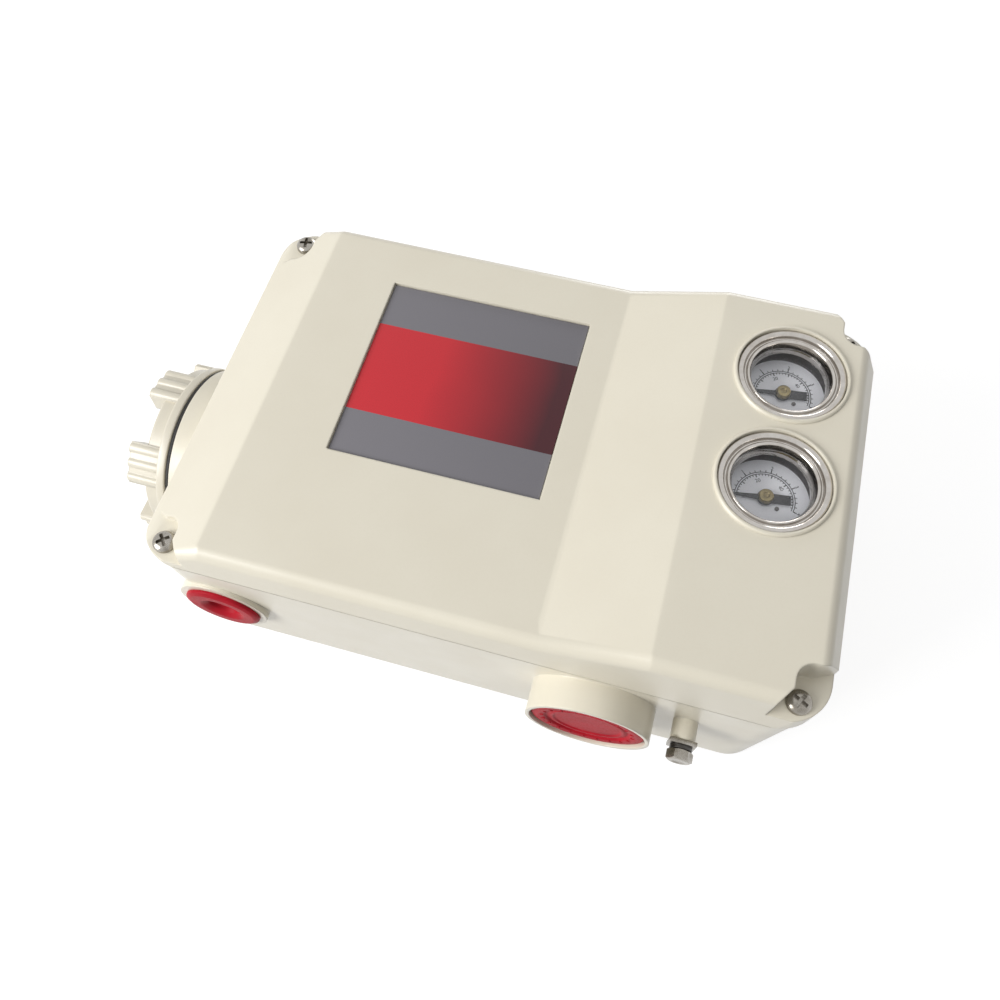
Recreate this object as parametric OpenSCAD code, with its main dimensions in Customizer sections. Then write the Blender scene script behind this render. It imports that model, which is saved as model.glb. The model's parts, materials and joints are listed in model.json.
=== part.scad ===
// Electro-pneumatic valve positioner with two gauges, a screw cap and a feedback spindle.
// Millimetres. The origin is the centre of the back face. +X runs from the screw cap to the
// gauges, +Y to the top of the dials and +Z out of the cover.

/* [Housing] */
// Length of the housing at the seam
body_length = 237; // [200:1:280]
// Width of the housing at the seam
body_width = 152; // [130:1:180]
// Height of the base casting
base_height = 72; // [66:1:90]
// Plan radius of the four corners at the seam
corner_radius = 15; // [8:1:20]
// Inset of the base's foot on each side, from the casting draft
foot_inset = 4.2; // [1:0.1:6]
// Step from the cover's outline in to the base's
seam_step = 0.6; // [0.2:0.1:1.5]
// Floor thickness of the main compartment
floor_thickness = 9; // [6:0.5:12]
// Thickness of the two long walls at the seam
side_wall = 10; // [8:0.5:13]
// Depth of the terminal chamber, from the cap end to its floor
chamber_depth = 34.5; // [30:0.5:40]
// Thickness of the partition behind the terminal chamber
partition = 10; // [6:0.5:12]
// Thickness of the cover gasket
gasket_thickness = 0.6; // [0.4:0.1:1.5]

/* [Cover] */
// Height of the label plateau above the gasket
label_height = 14.4; // [11:0.1:18]
// Height of the gauge plateau above the gasket
gauge_height = 24.9; // [21:0.1:32]
// Roof thickness of the cover
cover_roof = 4; // [3:0.5:5]
// Wall thickness of the cover
cover_wall = 7; // [5:0.5:9]
// Distance from the cap end to the head of the left bevel
bevel_length = 27; // [20:0.5:36]
// Distance from the gauge end to the foot of the slope
slope_foot = 92; // [84:0.5:100]
// Distance from the gauge end to the head of the slope
slope_head = 56.5; // [52:0.5:62]
// Radius of the cover's long top edges
edge_radius = 5; // [3:0.5:8]
// Distance of the screws from the housing's ends and sides
screw_inset = [9.7, 7]; // [6:0.1:12]
// Height of the two lugs at the gauge end above the gasket
lug_high = 10.9; // [6:0.1:15]
// Height of the two lugs at the cap end above the gasket
lug_low = 3.6; // [2.5:0.1:7]
// Length of the cover screws under the head
screw_length = 22; // [16:1:30]
// Side lengths of the label plate
label_size = [77.2, 75.8]; // [60:0.1:90]
// Centre of the label plate
label_centre = [-24.6, 14.4]; // [-40:0.1:40]
// Depth of the recess that holds the label plate
label_recess = 1.6; // [0.8:0.1:2.2]

/* [Gauges] */
// Distance of both gauge axes from the gauge end
gauge_inset = 30; // [27:0.1:34]
// Y of the two gauge axes, output then supply
gauge_ys = [41.8, -1.8]; // [-20:0.1:50]
// Outer radius of the bezels
bezel_radius = 18.6; // [16:0.1:19]
// Clearance between the bezels and their holes in the cover
bezel_clearance = 0.5; // [0.2:0.1:1]
// Width of the raised rims round the holes
rim_width = 1.3; // [0.8:0.1:2]
// Depth of the dials below the gauge plateau
dial_depth = 14; // [12:0.5:20]
// Room for the movement behind each dial
movement_room = 17.5; // [15:0.5:20]
// Tooth module of the gauge movements
movement_module = 0.4; // [0.35:0.05:0.45]
// Teeth on a full turn of the gauge sectors
sector_teeth = 48; // [44:4:52]
// Teeth on the gauge pinions
gauge_pinion_teeth = 12; // [10:1:14]

/* [Terminal compartment] */
// Y of the screw cap's axis
cap_y = -14.5; // [-20:0.5:0]
// Height of the screw cap's axis above the middle of the base
cap_rise = 0.68; // [0:0.02:3]
// Outer radius of the neck and of the cap's flange
neck_radius = 35.3; // [33:0.1:36]
// Bore radius of the neck
neck_bore = 30; // [26:0.1:31]
// How far the neck stands out of the cap end
neck_length = 8.5; // [6:0.5:14]
// Gap between the neck and the cap's flange
cap_gap = 1.8; // [1.2:0.1:3]
// Length of the cap's threaded skirt inside the neck
skirt_length = 10; // [8:0.5:14]

/* [Entries and ports] */
// Small entry in the near wall: distance from the cap end and height
small_entry = [23.5, 40]; // [20:0.5:60]
// Thread bore radius of the small entry
small_entry_bore = 9.4; // [8:0.1:10.5]
// Large entry in the near wall: X and depth below the seam
large_entry = [48, 24.5]; // [20:0.5:60]
// Thread bore radius of the large entry
large_entry_bore = 15.15; // [12:0.05:17]
// Outer radius of the large entry's boss
large_boss_radius = 22; // [20:0.5:24]
// How far the large boss stands out of the near wall
large_boss_length = 10.3; // [6:0.1:14]
// Depth of the seat of the large plug below the boss's face
large_recess = 4; // [3.5:0.5:8]
// Height of the air ports in the gauge end
port_z = 30; // [20:1:34]
// Thread bore radius of the air ports
port_bore = 5.85; // [4:0.05:7]
// Earth terminal: X and depth below the seam
earth_at = [81, 26]; // [20:0.5:100]
// How far the earth boss stands out of the near wall
earth_boss_length = 5.5; // [2:0.5:7]
// Vent in the far wall: X and height
vent_at = [40, 30]; // [20:1:40]

/* [Back] */
// Half spacing of the rear bolt holes along X and Y
bolt_half = [36, 48]; // [34:1:52]
// Bore radius of the rear bolt holes
bolt_bore = 3.4; // [2:0.1:5]
// Depth of the rear bolt holes
bolt_depth = 14; // [10:1:15]
// Radius of the recess round the feedback spindle
recess_radius = 20; // [16:1:24]
// Depth of the recess round the feedback spindle
recess_depth = 12; // [10:0.5:14]
// Radius of the feedback spindle
spindle_radius = 6; // [4:0.5:7]

/* [Feedback] */
// Tooth module of the feedback gears
gear_module = 1; // [0.8:0.1:1.2]
// Teeth on a full turn of the feedback sector
feedback_teeth = 72; // [60:4:80]
// Teeth on the potentiometer pinion
pinion_teeth = 18; // [14:1:22]
// Radial running clearance of the shafts
running_clearance = 0.05; // [0.02:0.01:0.08]

/* [Hidden] */
half_l = body_length / 2;
half_w = body_width / 2;
cover_z = base_height + gasket_thickness;
label_top = cover_z + label_height;
gauge_top = cover_z + gauge_height;
bevel_x = bevel_length - half_l;
slope_x = [half_l - slope_foot, half_l - slope_head];
screw_at = [half_l - screw_inset[0], half_w - screw_inset[1]];
gauge_x = half_l - gauge_inset;

// Gauge stack, from the dial down to the air manifold
case_radius = bezel_radius - 1.4;
case_wall = 1;
hole_radius = bezel_radius + bezel_clearance;
lens_z = gauge_top - 7.8;
lens_top = gauge_top - 6.2;
dial_z = gauge_top - dial_depth;
dial_thickness = 0.6;
case_floor = dial_z - movement_room;
plate_z = [case_floor + 8.5, case_floor + 14];
sector_radius = movement_module * sector_teeth / 2;
gauge_pinion_radius = movement_module * gauge_pinion_teeth / 2;
movement_centres = sector_radius + gauge_pinion_radius;
socket_hex = 8;
socket_shank = 4.85;
manifold_top = case_floor - socket_hex;

// Main compartment and what stands in it
cavity = [chamber_depth + partition - half_l, gauge_x + 5.5];
cavity_half_w = half_w - side_wall;
manifold_left = cavity[1] - 22;
manifold_y = [gauge_ys[1] - 20.2, gauge_ys[0] + 15.2];
manifold_screw_ys = [manifold_y[0] + 8, (gauge_ys[0] + gauge_ys[1]) / 2, manifold_y[1] - 5];
manifold_screw_z = manifold_top - 8;
pilot_left = manifold_left - 25;
pilot_top = floor_thickness + 31;
pilot_screw_ys = [gauge_ys[1] - 2.2, gauge_ys[0] + 4.2];
pilot_screw_z = floor_thickness + 6;
spool_at = [manifold_left - 12.5, (gauge_ys[0] + gauge_ys[1]) / 2];
spool_radius = 6;
spring_seat = floor_thickness + 3;
spool_foot = floor_thickness + 10;
converter_top = pilot_top + 10;
flapper_z = pilot_top + 24;
board_z = base_height - 12;
board_x = [cavity[0] + 4, pilot_left - 17];
board_half_w = cavity_half_w - 4;
board_posts = [for (x = [board_x[0] + 6, board_x[1] - 6], s = [-1, 1]) [x, s * (board_half_w - 6)]];

// Terminal compartment
chamber_floor = chamber_depth - half_l;
cap_z = base_height / 2 + cap_rise;
neck_face = -half_l - neck_length;
cap_back = neck_face - cap_gap;
feedthrough_z = cap_z + 17.3;
inner_earth = [cap_y + 15.5, cap_z + 16.3];

// Entries
small_x = small_entry[0] - half_l;
small_z = small_entry[1];
large_x = large_entry[0];
large_z = base_height - large_entry[1];
large_face = -half_w - large_boss_length;
large_seat = large_face + large_recess;
earth_z = base_height - earth_at[1];
earth_face = -half_w - earth_boss_length;
clamp_thickness = 1.6;
washer_thickness = 1.6;

// Feedback drive
pot_distance = gear_module * (feedback_teeth + pinion_teeth) / 2;
pot_z = floor_thickness + 5;
spindle_boss = 34;
gear_z = spindle_boss + 1.3;
gear_thickness = 4;
spindle_step = spindle_radius - 1;
clip_z = gear_z + 6;

paint = "#ded6c2";
die_cast = "#b4b4b0";
steel = "#c9cacc";
brass = "#b39445";
black = "#1d1d1f";
red = "#c43a3e";
$fn = 64;

// Height of the screw lugs on one end, by the sign of its X
function lug_z(side) = cover_z + (side > 0 ? lug_high : lug_low);

// Shapes that several pieces share

// Upright prism with a rounded rectangular plan
module rounded_prism(hx, hy, r, z0, z1) {
    translate([-hx + r, -hy, z0]) cube([2 * (hx - r), 2 * hy, z1 - z0]);
    translate([-hx, -hy + r, z0]) cube([2 * hx, 2 * (hy - r), z1 - z0]);
    for (sx = [-1, 1], sy = [-1, 1]) {
        translate([sx * (hx - r), sy * (hy - r), z0]) cylinder(r = r, h = z1 - z0);
    }
}

// Box between two corners
module block(low, high) {
    translate(low) cube(high - low);
}

// Round bar along X between two X values
module bar_x(x0, x1, y, z, r) {
    translate([x0, y, z]) rotate([0, 90, 0]) cylinder(r = r, h = x1 - x0);
}

// Round bar along Y between two Y values
module bar_y(y0, y1, x, z, r) {
    translate([x, y0, z]) rotate([-90, 0, 0]) cylinder(r = r, h = y1 - y0);
}

// Upright round bar between two heights
module bar_z(z0, z1, x, y, r) {
    translate([x, y, z0]) cylinder(r = r, h = z1 - z0);
}

// Upright tube between two heights
module tube_z(z0, z1, x, y, r, bore) {
    difference() {
        bar_z(z0, z1, x, y, r);
        bar_z(z0 - 1, z1 + 1, x, y, bore);
    }
}

// One straight-sided gear tooth, its middle on the +X axis
module tooth(m, teeth) {
    r = m * teeth / 2;
    q = 90 / teeth;
    root = r - 1.15 * m;
    tip = r + 0.8 * m;
    polygon([
        [root * cos(1.1 * q) - 0.2 * m, -root * sin(1.1 * q)],
        [r * cos(0.8 * q), -r * sin(0.8 * q)],
        [tip * cos(0.45 * q), -tip * sin(0.45 * q)],
        [tip * cos(0.45 * q), tip * sin(0.45 * q)],
        [r * cos(0.8 * q), r * sin(0.8 * q)],
        [root * cos(1.1 * q) - 0.2 * m, root * sin(1.1 * q)]
    ]);
}

// Flat outline of a gear sector from tooth number first to tooth number last
module sector_outline(m, teeth, first, last, hub) {
    pitch = 360 / teeth;
    root = m * teeth / 2 - 1.1 * m;
    a0 = (first - 0.6) * pitch;
    a1 = (last + 0.6) * pitch;
    steps = last - first + 1;
    rim = [for (i = [0 : steps]) let (a = a0 + (a1 - a0) * i / steps) root * [cos(a), sin(a)]];
    polygon(concat([[0, 0]], rim));
    for (k = [first : last]) rotate(k * pitch) tooth(m, teeth);
    circle(hub);
}

// Whole pinion with a tooth gap on the +X axis
module pinion(m, teeth, h) {
    linear_extrude(h) {
        circle(m * teeth / 2 - 1.1 * m);
        for (k = [0 : teeth - 1]) rotate((k + 0.5) * 360 / teeth) tooth(m, teeth);
    }
}

// Domed screw with a cross recess, its seat at z = 0 and its shank below
module cross_screw(head_r, head_h, shank_r, shank_l) {
    slot = [head_r * 1.2, head_r * 0.22, head_h];
    difference() {
        union() {
            cylinder(r = head_r, h = head_h * 0.55);
            translate([0, 0, head_h * 0.55]) cylinder(r1 = head_r, r2 = head_r * 0.62, h = head_h * 0.45);
            translate([0, 0, -shank_l]) cylinder(r = shank_r, h = shank_l + 0.1);
        }
        for (a = [0, 90]) rotate(a) translate([-slot[0] / 2, -slot[1] / 2, head_h * 0.4]) cube(slot);
    }
}

// Cap screw with a hexagon socket, its seat at z = 0 and its shank below
module socket_screw(head_r, head_h, shank_r, shank_l) {
    difference() {
        union() {
            cylinder(r = head_r, h = head_h);
            translate([0, 0, -shank_l]) cylinder(r = shank_r, h = shank_l + 0.1);
        }
        translate([0, 0, head_h * 0.45]) cylinder(r = head_r * 0.55, h = head_h, $fn = 6);
    }
}

// Coil of round wire, its axis on Z
module coil_spring(r, wire, z0, z1, turns) {
    steps = 14 * turns;
    sides = 8;
    rise = z1 - z0 - 2 * wire;
    points = [for (i = [0 : steps], j = [0 : sides - 1])
        let (a = 360 * turns * i / steps, b = 360 * j / sides, q = r + wire * cos(b))
        [q * cos(a), q * sin(a), z0 + wire + rise * i / steps + wire * sin(b)]];
    skin = [for (i = [0 : steps - 1], j = [0 : sides - 1]) let (k = (j + 1) % sides)
        [i * sides + j, (i + 1) * sides + j, (i + 1) * sides + k, i * sides + k]];
    ends = [[for (j = [0 : sides - 1]) j], [for (j = [sides - 1 : -1 : 0]) steps * sides + j]];
    polyhedron(points = points, faces = concat(skin, ends), convexity = 4);
}

// Places its children on both gauge axes
module at_gauges() {
    for (y = gauge_ys) translate([gauge_x, y, 0]) children();
}

// Places its children at the four cover screws, on top of the lugs
module at_lugs() {
    for (sx = [-1, 1], sy = [-1, 1]) {
        translate([sx * screw_at[0], sy * screw_at[1], lug_z(sx)]) children();
    }
}

// Round wells in the end wall and the gasket that clear the gauge cases
module gauge_wells() {
    at_gauges() bar_z(manifold_top - 0.5, cover_z + 5, 0, 0, case_radius + 1.3);
}

// Plan of the main compartment between two heights
module compartment(z0, z1) {
    translate([(cavity[0] + cavity[1]) / 2, 0, 0])
        rounded_prism((cavity[1] - cavity[0]) / 2, cavity_half_w, 8, z0, z1);
}

// Housing castings

// Drafted outside of the base with its bosses and neck
module base_outside() {
    foot = [half_l - seam_step - foot_inset * 0.7, half_w - seam_step - foot_inset];
    top = [half_l - seam_step, half_w - seam_step];
    foot_radius = corner_radius - 1.5;
    hull() {
        for (sx = [-1, 1], sy = [-1, 1]) {
            translate([sx * (foot[0] - foot_radius), sy * (foot[1] - foot_radius), 0])
                cylinder(r1 = foot_radius - 1.2, r2 = foot_radius, h = 1.2, $fn = 48);
            translate([sx * (top[0] - corner_radius), sy * (top[1] - corner_radius), base_height - 1])
                cylinder(r = corner_radius, h = 1, $fn = 48);
        }
    }
    difference() {
        bar_x(neck_face, -half_l + 18.5, cap_y, cap_z, neck_radius);
        block([-half_l - 0.3, -half_w, base_height], [0, half_w, base_height + neck_radius]);
    }
    bar_y(-half_w, -half_w + 16, small_x, small_z, small_entry_bore + 7.6);
    bar_y(large_face, -half_w + 16, large_x, large_z, large_boss_radius);
    bar_y(earth_face, -half_w + 14, earth_at[0], earth_z, 4.4);
}

// Posts and bosses that stand on the floor of the main compartment
module base_posts() {
    foot = floor_thickness - 1;
    bar_z(0, recess_depth + 12, 0, 0, recess_radius + 6);
    bar_z(recess_depth + 11, spindle_boss, 0, 0, spindle_radius + 7);
    bar_z(foot, pot_z, -pot_distance, 0, 12.5);
    for (p = board_posts) bar_z(foot, board_z, p[0], p[1], 4);
    for (sx = [-1, 1], sy = [-1, 1]) {
        bar_z(foot, bolt_depth + 4, sx * bolt_half[0], sy * bolt_half[1], bolt_bore + 4.6);
    }
}

// Bores and recesses that are cut through walls and posts alike
module base_bores() {
    bar_y(-half_w - 4, cap_y - 25.5, small_x, small_z, small_entry_bore);
    bar_y(large_face - 4, -half_w + 16, large_x, large_z, large_entry_bore);
    bar_y(large_face - 4, large_seat, large_x, large_z, large_boss_radius - 1.4);
    bar_y(earth_face - 1, -half_w + 8, earth_at[0], earth_z, 2.55);
    for (sx = [-1, 1], sy = [-1, 1]) {
        bar_z(lug_z(sx) - screw_length - 2, base_height + 1, sx * screw_at[0], sy * screw_at[1], 2.1);
        bar_z(-1, bolt_depth, sx * bolt_half[0], sy * bolt_half[1], bolt_bore);
    }
    for (y = gauge_ys) {
        bar_x(half_l - 2.5, half_l + 6, y, port_z, port_bore + 5.15);
        bar_x(half_l - 16.5, half_l + 2, y, port_z, port_bore);
        bar_x(cavity[1] - 4, half_l - 14, y, port_z, 2.5);
    }
    for (y = manifold_screw_ys) bar_x(cavity[1] - 4, cavity[1] + 14, y, manifold_screw_z, 2.55);
    bar_z(-1, recess_depth, 0, 0, recess_radius);
    bar_z(recess_depth - 1, spindle_boss + 1, 0, 0, spindle_radius + 3);
    bar_x(chamber_floor - 1, cavity[0] + 1, cap_y, feedthrough_z, 6);
    bar_x(chamber_floor - 1, chamber_floor + 7, inner_earth[0], inner_earth[1], 2.05);
    bar_y(half_w - 3.6, half_w + 9, vent_at[0], vent_at[1], 9);
    bar_y(half_w - 16, half_w + 9, vent_at[0], vent_at[1], 4.2);
    for (p = board_posts) bar_z(board_z - 10, board_z + 1, p[0], p[1], 1.3);
}

module base_housing() {
    color(paint) difference() {
        union() {
            difference() {
                base_outside();
                compartment(floor_thickness, base_height + 5);
                gauge_wells();
                bar_x(neck_face - 5, chamber_floor, cap_y, cap_z, neck_bore);
            }
            base_posts();
        }
        base_bores();
    }
}

module cover_gasket() {
    edge = 1.4;
    color(black) difference() {
        rounded_prism(half_l - edge, half_w - edge, corner_radius - 1, base_height, cover_z);
        compartment(base_height - 1, cover_z + 1);
        gauge_wells();
        block([-half_l + 12.5, -half_w + 20, base_height - 1], [chamber_floor + 4, half_w - 20, cover_z + 1]);
        for (sx = [-1, 1], sy = [-1, 1]) {
            bar_z(base_height - 1, cover_z + 1, sx * screw_at[0], sy * screw_at[1], 2.6);
        }
    }
}

// Cap-end block of the cover: bevel and label plateau
module label_block() {
    hull() {
        for (sy = [-1, 1], x = [bevel_x, slope_x[1]]) {
            translate([x, sy * (half_w - 1.2 - edge_radius), label_top - edge_radius])
                sphere(edge_radius, $fn = 32);
        }
        bar_y(-half_w + 0.8, half_w - 0.8, -half_l + 1.2, cover_z + 1.6, 1.2);
        block([-half_l, -half_w, cover_z], [slope_x[1], half_w, cover_z + 0.6]);
    }
}

// Gauge-end block of the cover: slope, gauge plateau and end bevel
module gauge_block() {
    hull() {
        for (sy = [-1, 1]) {
            y = sy * (half_w - 1.2 - edge_radius);
            translate([slope_x[0], y, label_top - edge_radius]) sphere(edge_radius, $fn = 32);
            translate([slope_x[1], y, gauge_top - edge_radius]) sphere(edge_radius, $fn = 32);
            translate([half_l - 8.2, y, gauge_top - edge_radius]) sphere(edge_radius, $fn = 32);
            translate([half_l - 2, sy * (half_w - 3.4), gauge_top - 9.8]) sphere(2, $fn = 32);
        }
        block([slope_x[0] - 6.5, -half_w, cover_z], [half_l, half_w, cover_z + 0.6]);
    }
}

// Plan of one screw pocket, in the corner with positive X and Y
module pocket_plan() {
    x0 = screw_at[0] - 4.8;
    y0 = screw_at[1] - 9;
    translate([x0 + 6, y0 + 6]) circle(6);
    translate([x0 + 6, y0]) square([24, 40]);
    translate([x0, y0 + 6]) square([30, 34]);
    polygon([[x0, y0 + 9], [x0, half_w + 14], [x0 - 8, half_w + 14], [x0 - 5, half_w + 0.2]]);
    polygon([[x0 + 8, y0], [x0 + 26, y0], [x0 + 26, y0 - 6], [half_l, y0 - 3]]);
}

// Hollows under the bevel, the label plateau, the slope and the gauge plateau
module cover_hollows() {
    y = half_w - cover_wall;
    inner_y = half_w - 26;
    foot = cover_z - 1;
    block([bevel_x + 5.5, -y, foot], [slope_x[1] + 2, y, label_top - cover_roof]);
    block([slope_x[1] - 4, -y, foot], [gauge_x + 7.5, y, gauge_top - cover_roof - 0.5]);
    block([gauge_x + 1.5, -inner_y, foot], [half_l - 5.5, inner_y, gauge_top - cover_roof - 1.5]);
    block([-half_l + 14.5, -inner_y, foot], [bevel_x + 11.5, inner_y, cover_z + 5]);
}

module cover() {
    label_cut = [label_size[0] / 2 + 0.3, label_size[1] / 2 + 0.3];
    color(paint) difference() {
        union() {
            intersection() {
                union() {
                    label_block();
                    gauge_block();
                }
                rounded_prism(half_l, half_w, corner_radius, cover_z, gauge_top + 5);
            }
            at_gauges() bar_z(gauge_top - 1, gauge_top + 0.5, 0, 0, hole_radius + rim_width);
            at_gauges() translate([0, 0, gauge_top + 0.5])
                cylinder(r1 = hole_radius + rim_width, r2 = hole_radius + rim_width - 0.5, h = 0.6);
        }
        for (sx = [-1, 1], sy = [-1, 1]) {
            translate([0, 0, lug_z(sx)]) scale([sx, sy, 1]) linear_extrude(40) pocket_plan();
        }
        cover_hollows();
        at_gauges() bar_z(cover_z - 1, gauge_top + 5, 0, 0, hole_radius);
        translate([label_centre[0], label_centre[1], 0])
            block(
                [-label_cut[0], -label_cut[1], label_top - label_recess],
                [label_cut[0], label_cut[1], label_top + 5]
            );
        at_lugs() bar_z(-40, 1, 0, 0, 2.3);
    }
}

module cover_screws() {
    color(steel) at_lugs() rotate(28) cross_screw(4.1, 2.9, 2, screw_length);
}

module nameplate() {
    corner = label_centre - label_size / 2;
    color(red) translate([corner[0], corner[1], label_top - label_recess])
        cube([label_size[0], label_size[1], 0.7]);
}

// Pressure gauges

module gauge_sockets() {
    tube_seat = case_floor + 2;
    color(brass) at_gauges() difference() {
        union() {
            bar_z(manifold_top - 10, manifold_top, 0, 0, socket_shank);
            translate([0, 0, manifold_top]) cylinder(r = 8, h = socket_hex, $fn = 6);
            bar_z(case_floor - 0.1, tube_seat + 0.2, 0, 0, socket_shank);
            bar_z(tube_seat, plate_z[0], 0, 0, 3);
            rotate(-50) translate([0, -2.2, tube_seat]) cube([case_radius - 3.6, 4.4, 2.4]);
        }
        bar_z(manifold_top - 18, case_floor + 5.5, 0, 0, 1.2);
    }
}

module gauge_cases() {
    color(die_cast) at_gauges() difference() {
        bar_z(case_floor, lens_top, 0, 0, case_radius);
        bar_z(case_floor + 1.2, gauge_top, 0, 0, case_radius - case_wall);
        bar_z(case_floor - 1, case_floor + 2, 0, 0, socket_shank + 0.05);
    }
}

module gauge_bezels() {
    r = bezel_radius;
    z = gauge_top;
    bore = case_radius + 0.05;
    color(steel) at_gauges() rotate_extrude($fn = 96) polygon([
        [bore, z - 9], [r, z - 9], [r, z - 0.4], [r - 0.4, z + 0.3], [r - 1.1, z + 0.5], [r - 1.7, z + 0.1],
        [r - 2.6, z - 0.9], [r - 3.8, z - 1.6], [r - 4.8, z - 2.3], [r - 5.3, z - 3], [r - 5.4, z - 3.6],
        [r - 5.4, lens_top], [bore, lens_top]
    ]);
}

module gauge_lenses() {
    color("#dfe8ee", 0.35) at_gauges() bar_z(lens_z, lens_top, 0, 0, case_radius - case_wall - 0.05);
}

module dial_rings() {
    color(black) at_gauges()
        tube_z(dial_z + dial_thickness, lens_z, 0, 0, case_radius - case_wall - 0.05, case_radius - 2);
}

module gauge_dials() {
    color("#dfe2e8") at_gauges()
        tube_z(dial_z, dial_z + dial_thickness, 0, 0, case_radius - case_wall - 0.1, 1.3);
}

module bourdon_tubes() {
    r = case_radius - 4.9;
    color(brass) at_gauges() translate([0, 0, case_floor + 6]) rotate(-50) {
        rotate_extrude(angle = 255) translate([r, 0]) circle(1.6, $fn = 24);
        translate([r - 1.7, -3, -1.6]) cube([3.4, 3.2, 3.2]);
        rotate(255) translate([r - 1.3, -0.2, -1.6]) cube([2.8, 2.2, 3.2]);
    }
}

module movement_frames() {
    low = -movement_centres - 2.6;
    color(brass) at_gauges() difference() {
        union() {
            for (z = plate_z) block([-3.5, low, z], [3.5, 7, z + 0.8]);
            bar_z(plate_z[0], dial_z, 0, 5.4, 1.2);
            bar_z(plate_z[0], dial_z, 2.6, low + 1.2, 0.8);
        }
        bar_z(plate_z[0] - 1, plate_z[1] + 2, 0, 0, 0.75 + running_clearance);
        bar_z(plate_z[0] - 1, plate_z[1] + 2, 0, -movement_centres, 0.6 + running_clearance);
    }
}

// Toothed sector between the tube's tip and the pointer's pinion
module gauge_sector() {
    translate([0, -movement_centres, 0]) {
        translate([0, 0, plate_z[0] + 2.7]) rotate(90) linear_extrude(0.9)
            sector_outline(movement_module, sector_teeth, -8, 1, 1.6);
        bar_z(plate_z[0] + 0.1, plate_z[1] + 0.7, 0, 0, 0.6);
    }
}

module gauge_sector_1() {
    color(brass) translate([gauge_x, gauge_ys[0], 0]) gauge_sector();
}

module gauge_sector_2() {
    color(brass) translate([gauge_x, gauge_ys[1], 0]) gauge_sector();
}

// Pointer shaft with its pinion and the round hub on top
module gauge_pinion() {
    bar_z(plate_z[0] + 0.1, dial_z + 1.9, 0, 0, 0.75);
    translate([0, 0, plate_z[0] + 2.4]) rotate(-90) pinion(movement_module, gauge_pinion_teeth, 1.5);
    bar_z(dial_z + 1.8, dial_z + 3, 0, 0, 2.6);
}

module gauge_pinion_1() {
    color(brass) translate([gauge_x, gauge_ys[0], 0]) gauge_pinion();
}

module gauge_pinion_2() {
    color(brass) translate([gauge_x, gauge_ys[1], 0]) gauge_pinion();
}

// Pointer blade at zero, its tip to the left and its wide tail to the right
module pointer() {
    tip = 4.8 - case_radius;
    translate([0, 0, dial_z + 1.3]) difference() {
        union() {
            cylinder(r = 2.9, h = 0.5);
            linear_extrude(0.5)
                polygon([[-1, -1.1], [tip + 0.4, -0.3], [tip, 0], [tip + 0.4, 0.3], [-1, 1.1]]);
            translate([1, -1.8, 0]) cube([7.6, 3.6, 0.5]);
        }
        translate([0, 0, -1]) cylinder(r = 0.75, h = 3);
    }
}

module pointer_1() {
    color(black) translate([gauge_x, gauge_ys[0], 0]) rotate(6) pointer();
}

module pointer_2() {
    color(black) translate([gauge_x, gauge_ys[1], 0]) rotate(6) pointer();
}

// Terminal compartment

// One crown lug of the cap, on the +Y side of the cap's axis, with three ribs
module cap_lug() {
    front = cap_back - 15.7;
    intersection() {
        translate([front, 0, 0]) rotate([0, 90, 0]) difference() {
            cylinder(r = neck_radius - 1, h = 13);
            translate([0, 0, -1]) cylinder(r = neck_bore - 4, h = 15);
        }
        translate([front, 0, 0]) rotate([90, 0, 90]) linear_extrude(13)
            polygon([[0, 0], 45 * [cos(14), -sin(14)], 45 * [cos(14), sin(14)]]);
    }
    for (a = [-10, 0, 10]) rotate([a, 0, 0]) bar_x(front, front + 13, neck_radius - 1.8, 0, 1.7);
}

module terminal_cap() {
    color(paint) translate([0, cap_y, cap_z]) difference() {
        union() {
            bar_x(cap_back - 3.7, cap_back, 0, 0, neck_radius);
            bar_x(cap_back - 9.5, cap_back - 3, 0, 0, neck_radius - 1.9);
            bar_x(cap_back - 0.1, neck_face + skirt_length, 0, 0, neck_bore - 0.15);
            for (k = [0 : 5]) rotate([12 + 60 * k, 0, 0]) cap_lug();
        }
        bar_x(cap_back - 5.5, neck_face + skirt_length + 8, 0, 0, neck_bore - 4);
    }
}

module cap_o_ring() {
    color(black) translate([neck_face - cap_gap / 2, cap_y, cap_z]) rotate([0, 90, 0])
        rotate_extrude($fn = 96) translate([neck_radius - 1.3, 0]) circle(cap_gap / 2 - 0.05, $fn = 24);
}

// Places its children at the four terminals, their screws pointing out of the chamber
module at_terminals() {
    for (i = [0 : 3]) translate([chamber_floor, cap_y - 14.8 + i * 9.7, cap_z - 2.9]) children();
}

module terminal_block() {
    color(black) difference() {
        translate([chamber_floor - 14, cap_y - 20, cap_z - 14.7]) cube([14, 40, 18]);
        at_terminals() {
            translate([-15, -4.2, -3.8]) cube([8, 8.4, 7.6]);
            bar_x(-12, -3, 0, 0, 1.5);
        }
    }
}

module terminal_screws() {
    color(brass) at_terminals() translate([-7, 0, 0]) rotate([0, -90, 0]) cross_screw(3, 2, 1.48, 3.9);
}

module wire_feedthrough() {
    color("#33363a") difference() {
        union() {
            bar_x(chamber_floor - 2, cavity[0] + 2, cap_y, feedthrough_z, 5.95);
            bar_x(chamber_floor - 2, chamber_floor, cap_y, feedthrough_z, 7.5);
        }
        for (a = [45 : 90 : 315]) {
            bar_x(chamber_floor - 3, cavity[0] + 3, cap_y + 3 * cos(a), feedthrough_z + 3 * sin(a), 0.8);
        }
    }
}

module inner_earth_screw() {
    color(steel) translate([chamber_floor, inner_earth[0], inner_earth[1]]) rotate([0, -90, 0])
        cross_screw(3.8, 2.6, 2, 6);
}

// Entries and earth terminal

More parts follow.
